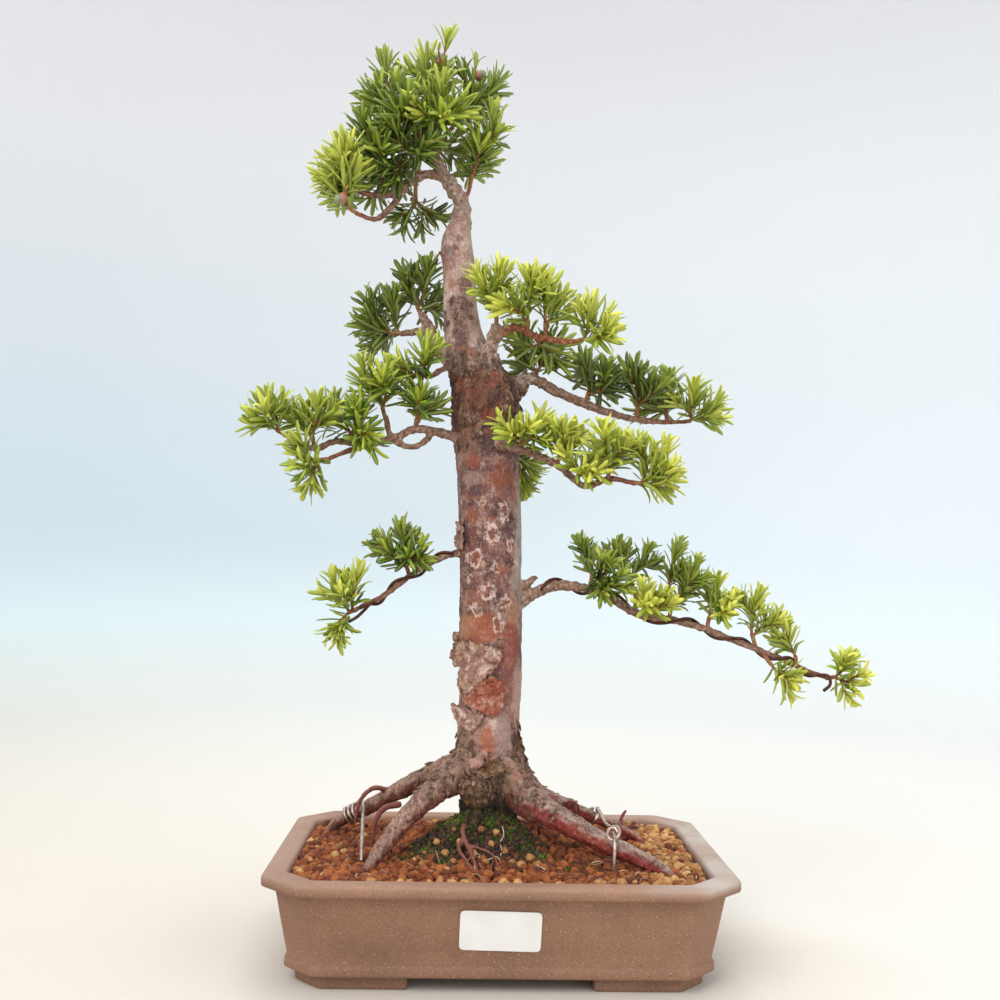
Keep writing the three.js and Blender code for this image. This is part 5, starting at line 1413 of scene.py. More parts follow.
def earth_crumbs():
    draw = random.Random(19)
    crumbs = []
    while len(crumbs) < EARTH_CRUMBS:
        x = MOSS_MIDDLE[0] + draw.uniform(-1, 1) * MOSS_REACH[0]
        y = MOSS_MIDDLE[1] - draw.random() * MOSS_REACH[1]
        if math.hypot((x - MOSS_MIDDLE[0]) / MOSS_REACH[0], (y - MOSS_MIDDLE[1]) / MOSS_REACH[1]) < 1:
            crumbs.append(stone(np.array((x, y, moss_height(x, y) + 0.2)), draw.uniform(0.9, 2.1), draw))
    return crumbs


grain_draw = random.Random(8)
pressed = [stone(np.array((x, y, moss_height(x, y) + 1.2)), grain_draw.uniform(1.9, 3), grain_draw)
           for x, y in PRESSED_GRAINS]
for name, mesh, material in (
        ("moss_bed", moss_bed_mesh(), baked_clay("dark earth", "#180e08", "#382214", "#5e412a")),
        ("moss", new_mesh("moss", *copies(moss_stem_template(), moss_stems()), smooth=False),
         moss_green()),
        ("earth_crumbs", new_mesh("earth_crumbs", *copies(grain_ball, earth_crumbs())),
         bpy.data.materials["dark earth"]),
        ("pressed_grains", new_mesh("pressed_grains", *copies(grain_ball, pressed)),
         bpy.data.materials["dry baked clay"]),
        ("rootlets", new_mesh("rootlets", *joined([tube(p, ROOTLET_SIDES) for p in rootlet_paths()])),
         dead_rootlet())):
    piece = new_piece(name, mesh, material)
    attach(piece, "root")


# The training wire: brown anodised aluminium, 2 mm thick, wound round the two low branches.
WIRE_RADIUS = 1.0
WIRE_SIDES = 12
WIRE_STEPS = 22
# The wire's middle lies this share of its radius off the bark, which it presses into
WIRE_OFF_BARK = 0.92
# Each wire: its branch, where it crosses the branch's front, and the points of its bent end
WIRE_CROSSINGS = {
    "wire_low_left": ("low_left", [-33, -61, -84], [(-89, -30, 203), (-94, -31, 200)]),
    "wire_low_right": ("low_right", [23, 56, 106, 139, 169, 191],
                       [(196, -31, 173), (197, -32, 168), (193, -32, 164)]),
}


def point_at_x(path, x):
    # The point and radius of a path where it passes x
    order = 1 if path[-1, 0] > path[0, 0] else -1
    return np.array([np.interp(order * x, order * path[:, 0], path[:, k]) for k in range(4)])


def wound_wire(path, crossings, radius):
    # One turn round the branch between each two crossings of its front
    points = []
    for start, end in zip(crossings[:-1], crossings[1:]):
        for k in range(WIRE_STEPS):
            share = k / WIRE_STEPS
            here = point_at_x(path, start + (end - start) * share)
            step = 2 if end > start else -2
            way = point_at_x(path, here[0] + step)[:3] - point_at_x(path, here[0] - step)[:3]
            way /= np.linalg.norm(way)
            front = np.array((0, -1, 0)) - way * -way[1]
            front /= np.linalg.norm(front)
            up = np.cross(front, way)
            up *= 1 if up[2] > 0 else -1
            reach = here[3] + radius * WIRE_OFF_BARK
            angle = 2 * math.pi * share
            centre = here[:3] + reach * (math.cos(angle) * front + math.sin(angle) * up)
            points.append((*centre, radius))
    return np.array(points)


def drawn_aluminium(name, dark, light, roughness):
    # Soft drawn wire: satin metal, stained and scratched in patches of about 4 mm
    material, tree, shader = new_material(name)
    at = add(tree, "TexCoord", out="Object")
    wear = add(tree, "TexNoise", {"Vector": at, "Scale": 260.0, "Detail": 6.0, "Roughness": 0.7})
    colour = add(tree, "ValToRGB", {"Fac": wear}, stops=[(0.35, dark), (0.7, light)])
    relief = add(tree, "Bump", {"Height": wear, "Strength": 0.2, "Distance": 0.2 * MM})
    connect(shader, {"Base Color": colour, "Normal": relief, "Metallic": 1, "Roughness": roughness})
    return material


brown_wire = drawn_aluminium("brown anodised aluminium", "#3d2620", "#6e4a3e", 0.42)
for name, (limb, crossings, tail) in WIRE_CROSSINGS.items():
    path = wound_wire(smooth_path(LIMBS[limb], 8), crossings, WIRE_RADIUS)
    path = np.vstack([path, smooth_path([path[-1], *[(*p, WIRE_RADIUS) for p in tail]], 5)[1:]])
    piece = new_piece(name + "_drawn", new_mesh(name, *tube(path, WIRE_SIDES)), brown_wire)
    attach(piece, "root")
    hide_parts(name)


# The guy wires: bare aluminium, 2.2 mm thick, each coiled round a back root and led over the
# roots and into the soil, where it holds the root ball down. The right one has a knot in it.
GUY_RADIUS = 1.1
GUY_KNOT = [(65, -34, 81.5), (68.5, -38, 82.5), (69, -42, 79.5), (65.5, -43.5, 76), (62.5, -41, 77.5),
            (63.5, -38, 81), (67, -38.5, 82), (68.5, -41, 79), (66, -44, 77)]
# Each wire: its root, from x, to x and turns of its coil, and the points that it is led through
GUY_ENDS = {
    "guy_wire_left": ("back_left", -97, -89, 3, [
        (-87, 22, 82), (-85, 0, 74), (-83, -26, 66), (-82, -38, 59), (-82, -40, 50)]),
    "guy_wire_right": ("back_right", 58, 61, 1, [
        (62, 6, 84), (64, -18, 80), (66, -34, 80.5), (66, -45, 78), (65.5, -49.5, 70),
        (65, -50, 60), (65, -50, 50)]),
}


def coiled_wire(path, start, end, turns, radius):
    points = []
    for k in range(turns * WIRE_STEPS + 1):
        share = k / (turns * WIRE_STEPS)
        here = point_at_x(path, start + (end - start) * share)
        way = point_at_x(path, here[0] + 2)[:3] - point_at_x(path, here[0] - 2)[:3]
        way /= np.linalg.norm(way)
        up = np.array((0, 0, 1)) - way * way[2]
        up /= np.linalg.norm(up)
        side = np.cross(up, way) * (1 if path[-1, 0] > path[0, 0] else -1)
        angle = 2 * math.pi * turns * share
        centre = here[:3] + (here[3] + radius) * (math.cos(angle) * up + math.sin(angle) * side)
        points.append((*centre, radius))
    return points


silver_wire = drawn_aluminium("bare weathered aluminium", "#937d70", "#d0beb1", 0.38)
for name, (root, start, end, turns, onward) in GUY_ENDS.items():
    coil = coiled_wire(smooth_path(ROOTS[root], 8), start, end, turns, GUY_RADIUS)
    parts = [tube(smooth_path([*coil, *[(*p, GUY_RADIUS) for p in onward]], 3), WIRE_SIDES)]
    if name == "guy_wire_right":
        parts.append(tube(smooth_path([(*p, GUY_RADIUS) for p in GUY_KNOT], 5), WIRE_SIDES))
    piece = new_piece(name + "_drawn", new_mesh(name, *joined(parts)), silver_wire)
    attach(piece, "root")
    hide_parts(name)


# The leafy sprays: soft flat needles set all round green shoots on red-brown twigs, this
# year's bright and last year's dark, and three seeds. Each row: name, age in years, raised for sprays deep in
# the crown as painted shade, twig, shoots.
SPRAYS = [
    ("crown_tip", 0.45, [(-53, -6, 522), (-52, -6, 532)],
     [(-56, -9, 543), (-58, -10, 555)], [(-47, -14, 546), (-44, -22, 562)],
     [(-50, 3, 544), (-49, 12, 554)]),
    ("crown_top_right", 1.05, [(-50, -7, 500), (-41, -4, 512), (-32, -3, 525)],
     [(-28, -2, 540), (-25, -2, 556)], [(-21, -6, 532), (-12, -8, 542)],
     [(-26, 7, 533), (-22, 16, 542)]),
    ("crown_top_left", 1.0, [(-51, -8, 503), (-65, -5, 511), (-75, -2, 522)],
     [(-81, 0, 538), (-84, 2, 556)], [(-83, -7, 525), (-93, -9, 531)]),
    ("crown_front", 0.6, [(-50, -8, 497), (-47, -16, 507), (-46, -22, 514)],
     [(-46, -28, 520), (-46, -30, 528)], [(-39, -28, 512), (-32, -30, 512)],
     [(-52, -31, 509), (-56, -38, 508)]),
    ("crown_front_left", 1.0, [(-49, -7, 491), (-58, -15, 500), (-63, -20, 508)],
     [(-69, -24, 519), (-74, -28, 531)], [(-67, -30, 508), (-72, -39, 508)]),
    ("crown_left", 1.05, [(-79, -18, 464), (-82, -15, 474), (-85, -14, 484)],
     [(-91, -16, 497), (-96, -18, 510)], [(-85, -24, 489), (-85, -32, 495)],
     [(-92, -6, 490), (-100, -1, 496)]),
    ("crown_left_end", 0.1, [(-93, -22, 464), (-98, -23, 466)],
     [(-103, -28, 478), (-106, -31, 491)], [(-108, -22, 474), (-115, -20, 483)],
     [(-105, -14, 470), (-111, -6, 474)]),
    ("crown_left_low", 0.2, [(-94, -28, 448), (-100, -30, 451)],
     [(-103, -33, 461), (-104, -35, 472)], [(-106, -26, 459), (-111, -22, 467)]),
    ("crown_right", 0.6, [(-32, 0, 464), (-28, -2, 474), (-26, -4, 485)],
     [(-21, -6, 496), (-16, -6, 506)], [(-18, -12, 503), (-14, -16, 518)],
     [(-22, 4, 492), (-17, 12, 497)]),
    ("crown_back", 1.2, [(-50, -6, 495), (-51, 6, 502), (-52, 16, 508)],
     [(-55, 25, 518), (-58, 29, 532)], [(-62, 24, 509), (-72, 28, 511)],
     [(-41, 24, 509), (-32, 28, 512)]),
    ("crown_back_left", 1.2, [(-66, -12, 474), (-71, 1, 480), (-76, 10, 486)],
     [(-84, 15, 496), (-90, 18, 508)], [(-78, 21, 491), (-78, 31, 495)],
     [(-87, 14, 482), (-98, 18, 480)]),
    ("crown_under", 1.2, [(-61, -10, 478), (-62, -2, 473), (-62, 5, 469)],
     [(-57, 11, 464), (-52, 17, 462)], [(-67, 12, 463), (-74, 16, 462)]),
    ("crown_heart", 1.2, [(-58, -10, 481), (-62, -17, 485), (-65, -23, 489)],
     [(-70, -29, 493), (-74, -34, 500)], [(-59, -30, 490), (-54, -35, 492)],
     [(-74, -25, 481), (-82, -29, 478)]),
    ("upper_left_top", 1.1, [(-57, 14, 396), (-60, 17, 402)],
     [(-64, 18, 412), (-65, 18, 423)], [(-55, 13, 414), (-53, 9, 427)],
     [(-50, 24, 406), (-44, 30, 412)]),
    ("upper_left_end", 1.1, [(-68, 16, 384), (-77, 18, 385)],
     [(-88, 22, 396), (-90, 24, 407)], [(-88, 20, 387), (-96, 18, 390)],
     [(-85, 26, 380), (-90, 31, 375)], [(-75, 16, 398), (-75, 14, 409)]),
    ("mid_left_end", 0.3, [(-134, -32, 311), (-140, -33, 314)],
     [(-145, -37, 318), (-151, -40, 321)], [(-142, -31, 323), (-146, -30, 333)]),
    ("mid_left_low", 0.35, [(-107, -37, 297), (-113, -41, 296)],
     [(-118, -44, 296), (-123, -46, 298)], [(-115, -46, 290), (-115, -50, 284)]),
    ("mid_left_up", 0.3, [(-118, -27, 304), (-119, -29, 311)],
     [(-117, -34, 319), (-116, -36, 330)], [(-126, -25, 318), (-134, -22, 328)]),
    ("mid_left_middle", 0.75, [(-96, -22, 308), (-97, -22, 315)],
     [(-106, -16, 322), (-108, -14, 333)], [(-93, -26, 321), (-91, -28, 332)],
     [(-90, -33, 315), (-86, -40, 312)]),
    ("mid_left_top", 0.5, [(-76, -19, 324), (-78, -21, 331)],
     [(-86, -27, 343), (-90, -30, 355)], [(-75, -28, 342), (-74, -31, 353)]),
    ("mid_left_knot", 0.5, [(-47, -12, 353), (-52, -15, 351)],
     [(-53, -18, 358), (-53, -19, 370)], [(-60, -22, 352), (-67, -27, 357)]),
    ("mid_left_near", 0.9, [(-58, -13, 319), (-57, -17, 325)],
     [(-56, -23, 331), (-55, -26, 339)], [(-51, -12, 330), (-45, -8, 334)]),
    ("upper_right_stub", 0.15, [(-9, -17, 383), (-9, -21, 391)],
     [(-9, -27, 403), (-7, -33, 415)], [(-14, -25, 402), (-20, -28, 412)]),
    ("upper_right_front", 0.1, [(10, -23, 379), (10, -27, 386)],
     [(10, -33, 398), (9, -39, 410)], [(4, -33, 390), (-4, -42, 391)]),
    ("upper_right_middle", 0.15, [(21, -27, 375), (21, -26, 386)],
     [(20, -28, 398), (20, -30, 410)], [(27, -21, 392), (32, -18, 402)]),
    ("upper_right_end", 0.1, [(39, -32, 373), (44, -34, 374)],
     [(47, -38, 383), (47, -40, 392)], [(51, -36, 375), (58, -38, 378)]),
    ("upper_right_low", 0.5, [(14, -25, 377), (17, -18, 375), (18, -12, 374)],
     [(12, -4, 374), (7, 2, 380)], [(26, -7, 372), (33, -2, 377)]),
    ("right_base", 1.25, [(18, 4, 354), (18, 6, 361)],
     [(9, 15, 368), (7, 20, 376)], [(24, 4, 369), (25, 2, 378)]),
    ("right_middle", 1.2, [(50, 9, 341), (52, 11, 348)],
     [(53, 18, 359), (50, 21, 371)], [(61, 2, 350), (62, -3, 360)],
     [(62, 17, 352), (71, 22, 356)]),
    ("right_stem", 1.15, [(84, 13, 332), (84, 11, 341)],
     [(83, 10, 353), (82, 10, 364)], [(91, 5, 346), (97, 0, 353)]),
    ("right_far", 0.9, [(104, 15, 331), (104, 18, 338)],
     [(106, 21, 349), (107, 22, 359)], [(100, 28, 341), (98, 36, 344)]),
    ("right_end", 0.35, [(114, 16, 331), (120, 16, 332)],
     [(119, 9, 341), (120, 6, 352)], [(128, 16, 337), (135, 16, 344)]),
    ("mid_right_base", 0.15, [(6, -26, 307), (7, -32, 310)],
     [(4, -38, 313), (1, -44, 314)], [(13, -37, 313), (18, -40, 319)]),
    ("mid_right_knot", 0.1, [(29, -37, 297), (30, -40, 302)],
     [(28, -44, 309), (27, -46, 316)], [(35, -43, 306), (40, -45, 311)]),
    ("mid_right_middle", 0, [(41, -42, 287), (41, -47, 290)],
     [(39, -52, 293), (36, -55, 298)], [(48, -53, 293), (55, -54, 297)]),
    ("mid_right_up", 0.1, [(58, -50, 287), (58, -55, 293)],
     [(56, -59, 304), (54, -61, 315)], [(64, -52, 301), (66, -48, 310)]),
    ("mid_right_end", 0, [(71, -56, 286), (77, -58, 285)],
     [(80, -55, 296), (78, -50, 309)], [(85, -61, 294), (90, -63, 306)],
     [(85, -60, 285), (93, -62, 287)]),
    ("back_near", 0.7, [(-2, 32, 315), (4, 36, 311)],
     [(12, 36, 304), (18, 35, 298)], [(10, 40, 298), (14, 42, 287)]),
    ("back_end", 0.7, [(1, 47, 310), (2, 54, 310)],
     [(4, 61, 317), (6, 66, 326)], [(10, 59, 307), (19, 64, 306)],
     [(-5, 61, 309), (-12, 68, 311)]),
    ("low_left_up", 0.9, [(-59, -12, 227), (-62, -10, 236)],
     [(-64, -8, 247), (-65, -7, 258)], [(-58, -17, 240), (-54, -22, 245)],
     [(-71, -12, 242), (-77, -14, 250)]),
    ("low_left_end", 0.2, [(-89, -24, 208), (-95, -26, 205)],
     [(-99, -29, 200), (-104, -31, 194)], [(-101, -23, 214), (-105, -22, 226)],
     [(-92, -30, 216), (-89, -32, 230)]),
    ("low_right_inner", 0.8, [(53, -10, 221), (54, -9, 230)],
     [(52, -2, 239), (51, 1, 248)], [(61, -17, 232), (63, -22, 238)],
     [(64, -24, 225), (72, -31, 223)]),
    ("low_right_back", 0.9, [(81, -13, 208), (82, -5, 219), (79, 1, 230)],
     [(74, 5, 240), (72, 6, 250)], [(86, 3, 238), (91, 2, 247)]),
    ("low_right_bright", 0, [(88, -14, 207), (88, -21, 209)],
     [(85, -28, 215), (84, -31, 224)], [(93, -28, 212), (99, -33, 215)]),
    ("low_right_twig", 0.7, [(102, -15, 204), (103, -12, 213)],
     [(103, -8, 230), (109, -6, 250)], [(112, -11, 219), (114, -9, 230)],
     [(113, -18, 227), (117, -22, 240)]),
    ("low_right_middle", 0.15, [(125, -17, 199), (127, -13, 206)],
     [(131, -8, 217), (134, -6, 229)], [(133, -19, 210), (137, -27, 217)]),
    ("low_right_far", 0.1, [(155, -20, 187), (152, -20, 197)],
     [(152, -20, 210), (156, -20, 221)], [(161, -16, 203), (168, -13, 208)]),
    ("low_right_hang", 0.1, [(158, -20, 186), (162, -28, 179)],
     [(168, -33, 170), (172, -35, 163)]),
    ("low_right_rise", 0.1, [(179, -23, 178), (178, -24, 184)],
     [(175, -24, 190), (174, -24, 198)]),
    ("low_right_tip", 0, [(196, -26, 171), (202, -26, 172)],
     [(206, -27, 176), (210, -28, 182)], [(206, -32, 170), (209, -37, 168)]),
]
# Which spray bears each seed, the seed's middle, and the way it points
SEEDS = {
    "crown_tip": ((-47, -17, 552), (-0.5, -0.4, 1)),
    "crown_top_right": ((-22.6, -3, 549), (0.8, -0.3, 0.4)),
    "crown_left_low": ((-105, -33.5, 456.5), (-0.9, -0.3, -0.2)),
}
# The needles' length on each branch, found by how a spray's name begins
NEEDLE_LONG = {
    "crown_under": 14.5, "crown": 18, "upper_right": 17.5, "right": 17, "upper_left": 16.5,
    "mid_left": 16.5, "back": 16, "mid_right": 15.5, "low_left": 14, "low_right": 13,
}
NEEDLE_WIDE = 2.95
NEEDLE_SPACING = 0.92
# Degrees that the needles lean off the shoot: at its foot, less at its tip, and by chance
NEEDLE_LEAN = 60
NEEDLE_LEAN_TIP = 42
NEEDLE_LEAN_STRAY = 10
NEEDLE_RISE = 0.1
# From this share of a shoot on, its last needles are shorter and narrower
LAST_NEEDLES = 0.93
LEAFY_LENGTH = 27
SIDE_SHOOTS = 2
SIDE_LEAFY_LENGTH = 12
SIDE_NEEDLES_SHARE = 0.9
SIDE_RADIUS = 0.7
TWIG_RADIUS = 1.3
SHOOT_RADIUS = 0.9
SHOOT_SIDES = 8
SEED_SIDES = 18
SEED_ROOM = 4.6
# Radius and height along a seed's axis
SEED_PROFILE = [
    (0, -4.1), (2.1, -3.5), (3.2, -2), (3.5, -0.2), (3.4, 0.7), (2.8, 0.8), (2.8, 1.8), (2.3, 3.2),
    (1.3, 4.2), (0, 4.5),
]
NEEDLE_RIB = "#c4ca58"
NEEDLE_FOOT = "#b0b64a"
NEEDLE_UNDERSIDE = "#9ca44e"
SPRAY_SEED = 200
GOLDEN_ANGLE = math.radians(137.5)
# Blade rings: place along the needle and half width as a share of the whole width
BLADE = [(0, 0.14), (0.05, 0.25), (0.15, 0.43), (0.42, 0.5), (0.74, 0.5), (0.91, 0.38), (1, 0.07)]


def blade(root, way, top, long, wide, bend, tone):
    # One needle: a flat blade with a low midrib above and a keel below, bent along its length
    side = np.cross(way, top)
    along = np.array([t for t, _ in BLADE])
    half = np.array([w for _, w in BLADE]) * wide
    spine = root + along[:, None] * long * way + (bend * 4 * along * (along - 1))[:, None] * -top \
        - (bend * 1.3 * along ** 3)[:, None] * top
    points = []
    for centre, h in zip(spine, half):
        points.extend((centre - side * h + top * h * 0.18, centre + top * h * 0.12,
                       centre + side * h + top * h * 0.18, centre - top * h * 0.32))
    leaf = np.array([(across, t, tone, under) for t in along
                     for across, under in ((-1, 0.5), (0, 0), (1, 0.5), (0, 1))])
    return np.array(points), leaf


def blade_faces():
    faces = [(0, 1, 2, 3)]
    for k in range(len(BLADE) - 1):
        for i in range(4):
            j = (i + 1) % 4
            faces.append((4 * k + i, 4 * k + 4 + i, 4 * k + 4 + j, 4 * k + j))
    last = 4 * (len(BLADE) - 1)
    faces.append((last + 3, last + 2, last + 1, last))
    return faces


def shoot_needles(path, leafy, needle_long, age_and_depth_shade, draw):
    # Needles in a spiral: those at the base lean far out, those at the tip close up
    steps = np.linalg.norm(np.diff(path[:, :3], axis=0), axis=1)
    places = np.concatenate([[0], np.cumsum(steps)])
    total = places[-1]
    leafy = min(leafy, total * 0.97)
    tangents, normals, binormals = frames_along(path[:, :3])
    count = int(leafy / NEEDLE_SPACING)
    turn = draw.uniform(0, ANY_TURN)
    made = []
    for i in range(count):
        share = (i + 0.5) / count
        at = total - leafy * (1 - share)
        index = min(int(np.searchsorted(places, at)), len(path) - 1)
        centre = np.array([np.interp(at, places, path[:, k]) for k in range(3)])
        angle = turn + i * GOLDEN_ANGLE + draw.uniform(-0.25, 0.25)
        out = math.cos(angle) * normals[index] + math.sin(angle) * binormals[index]
        lean = NEEDLE_LEAN - NEEDLE_LEAN_TIP * share ** 1.3
        lean = math.radians(lean + draw.uniform(-NEEDLE_LEAN_STRAY, NEEDLE_LEAN_STRAY))
        way = math.cos(lean) * tangents[index] + math.sin(lean) * out
        way[2] += NEEDLE_RISE
        way /= np.linalg.norm(way)
        top = tangents[index] - way * tangents[index].dot(way)
        top /= np.linalg.norm(top)
        twist = draw.uniform(-0.5, 0.5)
        top = math.cos(twist) * top + math.sin(twist) * np.cross(way, top)
        long = needle_long * (0.78 + 0.3 * math.sin(math.pi * min(share * 1.05, 1)) ** 0.7)
        long *= draw.uniform(0.88, 1.06) * (0.74 if share > LAST_NEEDLES else 1)
        # Older needles are darker; the age value also carries painted shade for sprays deep in the crown
        tone = 0.43 - 0.4 * age_and_depth_shade + (0.62 - 0.14 * age_and_depth_shade) * share + draw.uniform(-0.14, 0.14)
        wide = NEEDLE_WIDE * draw.uniform(0.85, 1.08) * (0.8 if share > LAST_NEEDLES else 1)
        made.append(blade(centre + out * 0.4, way, top, long, wide, draw.uniform(-0.5, 1.5), tone))
    return made


def side_shoot(path, draw):
    # A short dwarf shoot from the lower half of a longer one
    index = int(len(path) * draw.uniform(0.25, 0.6))
    tangents, normals, binormals = frames_along(path[:, :3])
    angle = draw.uniform(0, ANY_TURN)
    out = math.cos(angle) * normals[index] + math.sin(angle) * binormals[index]
    way = tangents[index] * 0.75 + out
    way /= np.linalg.norm(way)
    start = path[index, :3]
    long = draw.uniform(8, 12)
    rows = [(*start, SIDE_RADIUS), (*(start + way * long * 0.5), SIDE_RADIUS),
            (*(start + way * long + tangents[index] * 2), 0.5)]
    return smooth_path(rows, 3)


def spray_parts(name, twig, shoots, age_and_depth_shade, draw):
    # A spray's stems and needles. Each shoot starts a little further back on the twig
    needle_long = next(long for branch, long in NEEDLE_LONG.items() if name.startswith(branch))
    base = [(*p, TWIG_RADIUS) for p in twig]
    stems = [smooth_path(base, 4)]
    needles = []
    for k, shoot in enumerate(shoots):
        start = np.array(twig[-1], float) * (1 - 0.2 * k) + np.array(twig[-2], float) * 0.2 * k
        rows = [(*start, SHOOT_RADIUS), *[(*p, SHOOT_RADIUS) for p in shoot]]
        rows[-1] = (*shoot[-1], SHOOT_RADIUS * 0.6)
        path = smooth_path(rows, 5)
        stems.append(path)
        needles += shoot_needles(path, LEAFY_LENGTH, needle_long, age_and_depth_shade, draw)
        for _ in range(SIDE_SHOOTS):
            extra = side_shoot(path, draw)
            stems.append(extra)
            shorter = needle_long * SIDE_NEEDLES_SHARE
            needles += shoot_needles(extra, SIDE_LEAFY_LENGTH, shorter, age_and_depth_shade, draw)
    return stems, needles


def clear_of_seeds(points):
    # A needle keeps off each seed, and off the room in front of it
    for middle, _ in SEEDS.values():
        for towards_viewer in (0, 5):
            centre = np.array(middle) - (0, towards_viewer, 0)
            if np.linalg.norm(points - centre, axis=1).min() < SEED_ROOM:
                return False
    return True


def seed_points(middle, way):
    # An unripe seed like a small acorn: a pink-brown base, a grey-green dome
    turn = np.array(Vector((0, 0, 1)).rotation_difference(Vector(way).normalized()).to_matrix())
    points = [(r * math.cos(a), r * math.sin(a), h) for r, h in SEED_PROFILE[1:-1]
              for a in np.linspace(0, 2 * math.pi, SEED_SIDES, endpoint=False)]
    points += [(0, 0, SEED_PROFILE[0][1]), (0, 0, SEED_PROFILE[-1][1])]
    rows = len(SEED_PROFILE) - 2
    faces = []
    for i in range(SEED_SIDES):
        j = (i + 1) % SEED_SIDES
        for k in range(rows - 1):
            low = k * SEED_SIDES
            high = low + SEED_SIDES
            faces.append((low + i, low + j, high + j, high + i))
        last = rows * SEED_SIDES
        faces.append((last, j, i))
        faces.append((last + 1, last - SEED_SIDES + i, last - SEED_SIDES + j))
    tall = np.array([p[2] for p in points])
    return np.array(points) @ turn.T + np.array(middle), faces, tall


def spray_mesh(name, stems, needles):
    # Stems, needles and seed in one mesh, with the values that colour the needles and the seed
    stem_points, stem_faces = joined([tube(path, SHOOT_SIDES) for path in stems])
    parts = [(stem_points, stem_faces)]
    template = blade_faces()
    parts += [(points, template) for points, _ in needles]
    leaf = [np.tile((0, 0, 0, 0), (len(stem_points), 1))] + [values for _, values in needles]
    slots = [1] * len(stem_faces) + [0] * (len(template) * len(needles))
    if name in SEEDS:
        seed_verts, seed_faces, tall = seed_points(*SEEDS[name])
        parts.append((seed_verts, seed_faces))
        leaf.append(np.column_stack([0 * tall, 0 * tall, tall, 0 * tall]))
        slots += [2] * len(seed_faces)
    points, faces = joined(parts)
    mesh = new_mesh(name, points, faces)
    leaf = np.vstack(leaf)
    for index, key in enumerate(("across", "along", "tone", "under")):
        mesh.attributes.new(key, "FLOAT", "POINT").data.foreach_set("value", leaf[:, index].copy())
    mesh.polygons.foreach_set("material_index", slots)
    return mesh


def yew_needles():
    # Living yew needles: leathery and softly glossy, light passes through them a little. The
    # youngest are yellow-green, the oldest dark, sprays deep in the crown darker still as painted shade, and
    # the underside is paler
    material, tree, shader = new_material("yew needles")
    values = {key: add(tree, "Attribute", attribute_name=key, out="Fac")
              for key in ("across", "along", "tone", "under")}
    at = add(tree, "TexCoord", out="Object")
    cloud = add(tree, "TexNoise", {"Vector": at, "Scale": 120.0, "Detail": 3.0})
    tone = add(tree, "Math", {0: cloud, 1: 0.24, 2: -0.12}, operation="MULTIPLY_ADD")
    tone = add(tree, "Math", {0: tone, 1: values["tone"]}, operation="ADD")
    colour = add(tree, "ValToRGB", {"Fac": tone},
                 stops=[(0.0, "#24340c"), (0.26, "#54701f"), (0.58, "#a2b03a"), (0.95, "#dbdb5e")])
    rib = add(tree, "Math", {0: values["across"]}, operation="ABSOLUTE")
    rib = add(tree, "MapRange", {"Value": rib, "From Min": 0.3, "From Max": 0.08, "To Max": 0.35})
    colour = add(tree, "MixRGB", {"Fac": rib, "Color1": colour, "Color2": linear(NEEDLE_RIB)})
    foot = add(tree, "MapRange", {"Value": values["along"], "From Min": 0.16, "From Max": 0.02,
                                  "To Max": 0.5})
    colour = add(tree, "MixRGB", {"Fac": foot, "Color1": colour, "Color2": linear(NEEDLE_FOOT)})
    under = add(tree, "MapRange", {"Value": values["under"], "From Min": 0.5, "From Max": 0.8,
                                   "To Max": 0.55})
    colour = add(tree, "MixRGB", {"Fac": under, "Color1": colour, "Color2": linear(NEEDLE_UNDERSIDE)})
    connect(shader, {"Base Color": colour, "Subsurface Radius": colour, "Subsurface Weight": 0.25,
                     "Subsurface Scale": 1.5 * MM, "Roughness": 0.42, "IOR": 1.45})
    return material


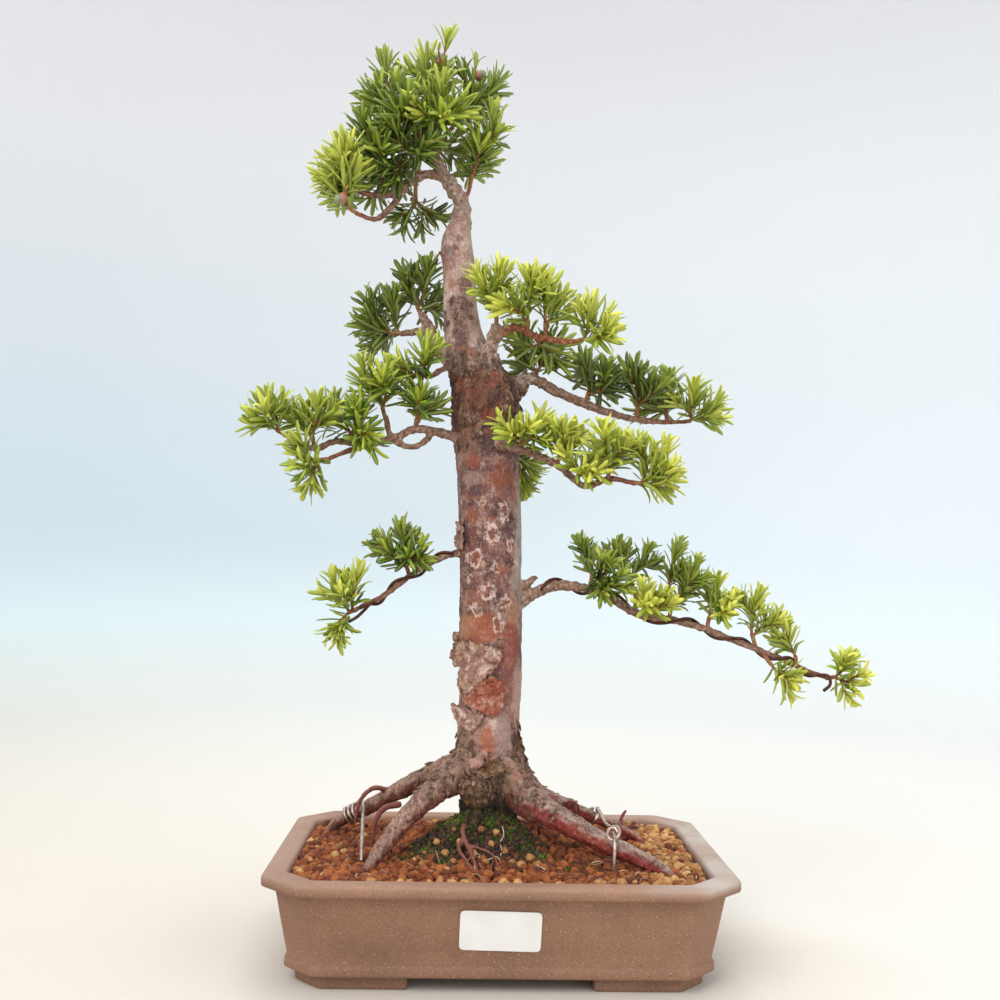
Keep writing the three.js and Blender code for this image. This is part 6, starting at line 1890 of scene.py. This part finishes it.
def young_twig():
    # Young twigs: thin red-brown bark with green showing through
    material, tree, shader = new_material("young yew twig")
    at = add(tree, "TexCoord", out="Object")
    mottle = add(tree, "TexNoise", {"Vector": at, "Scale": 350.0, "Detail": 5.0, "Roughness": 0.7})
    colour = add(tree, "ValToRGB", {"Fac": mottle},
                 stops=[(0.32, "#5c3222"), (0.5, "#97583a"), (0.68, "#7f8a3c")])
    relief = add(tree, "Bump", {"Height": mottle, "Strength": 0.5, "Distance": 0.5 * MM})
    connect(shader, {"Base Color": colour, "Normal": relief, "Roughness": 0.7})
    return material


def yew_seed():
    # Unripe seeds: smooth, a grey-green dome above a pink-brown base
    material, tree, shader = new_material("unripe yew seed")
    tall = add(tree, "Attribute", attribute_name="tone", out="Fac")
    share = add(tree, "MapRange", {"Value": tall, "From Min": -4.0, "From Max": 4.0})
    colour = add(tree, "ValToRGB", {"Fac": share},
                 stops=[(0.2, "#9c6a55"), (0.56, "#b5705c"), (0.62, "#75785c"), (1.0, "#8f9272")])
    connect(shader, {"Base Color": colour, "Roughness": 0.45})
    return material


needle_skin = yew_needles()
twig_skin = young_twig()
seed_skin = yew_seed()
for order, (name, age_and_depth_shade, twig, *shoots) in enumerate(SPRAYS):
    stems, needles = spray_parts(name, twig, shoots, age_and_depth_shade, random.Random(SPRAY_SEED + order))
    needles = [needle for needle in needles if clear_of_seeds(needle[0])]
    mesh = spray_mesh(name, stems, needles)
    piece = new_piece(name + "_leafy", mesh, needle_skin, twig_skin, seed_skin)
    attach(piece, "root")
    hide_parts(name)


# The label: a blank white sticker with rounded corners, stuck to the middle of the pot's front
# wall and tilted as the wall is.
def coated_paper():
    # Coated paper: bright white, satin, very slightly uneven
    material, tree, shader = new_material("coated white paper")
    at = add(tree, "TexCoord", out="Object")
    cloud = add(tree, "TexNoise", {"Vector": at, "Scale": 60.0, "Detail": 3.0})
    colour = add(tree, "ValToRGB", {"Fac": cloud}, stops=[(0.3, "#e2dedb"), (0.7, "#eae7e4")])
    connect(shader, {"Base Color": colour, "Roughness": 0.38})
    return material


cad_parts["label"].data.materials.clear()
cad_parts["label"].data.materials.append(coated_paper())
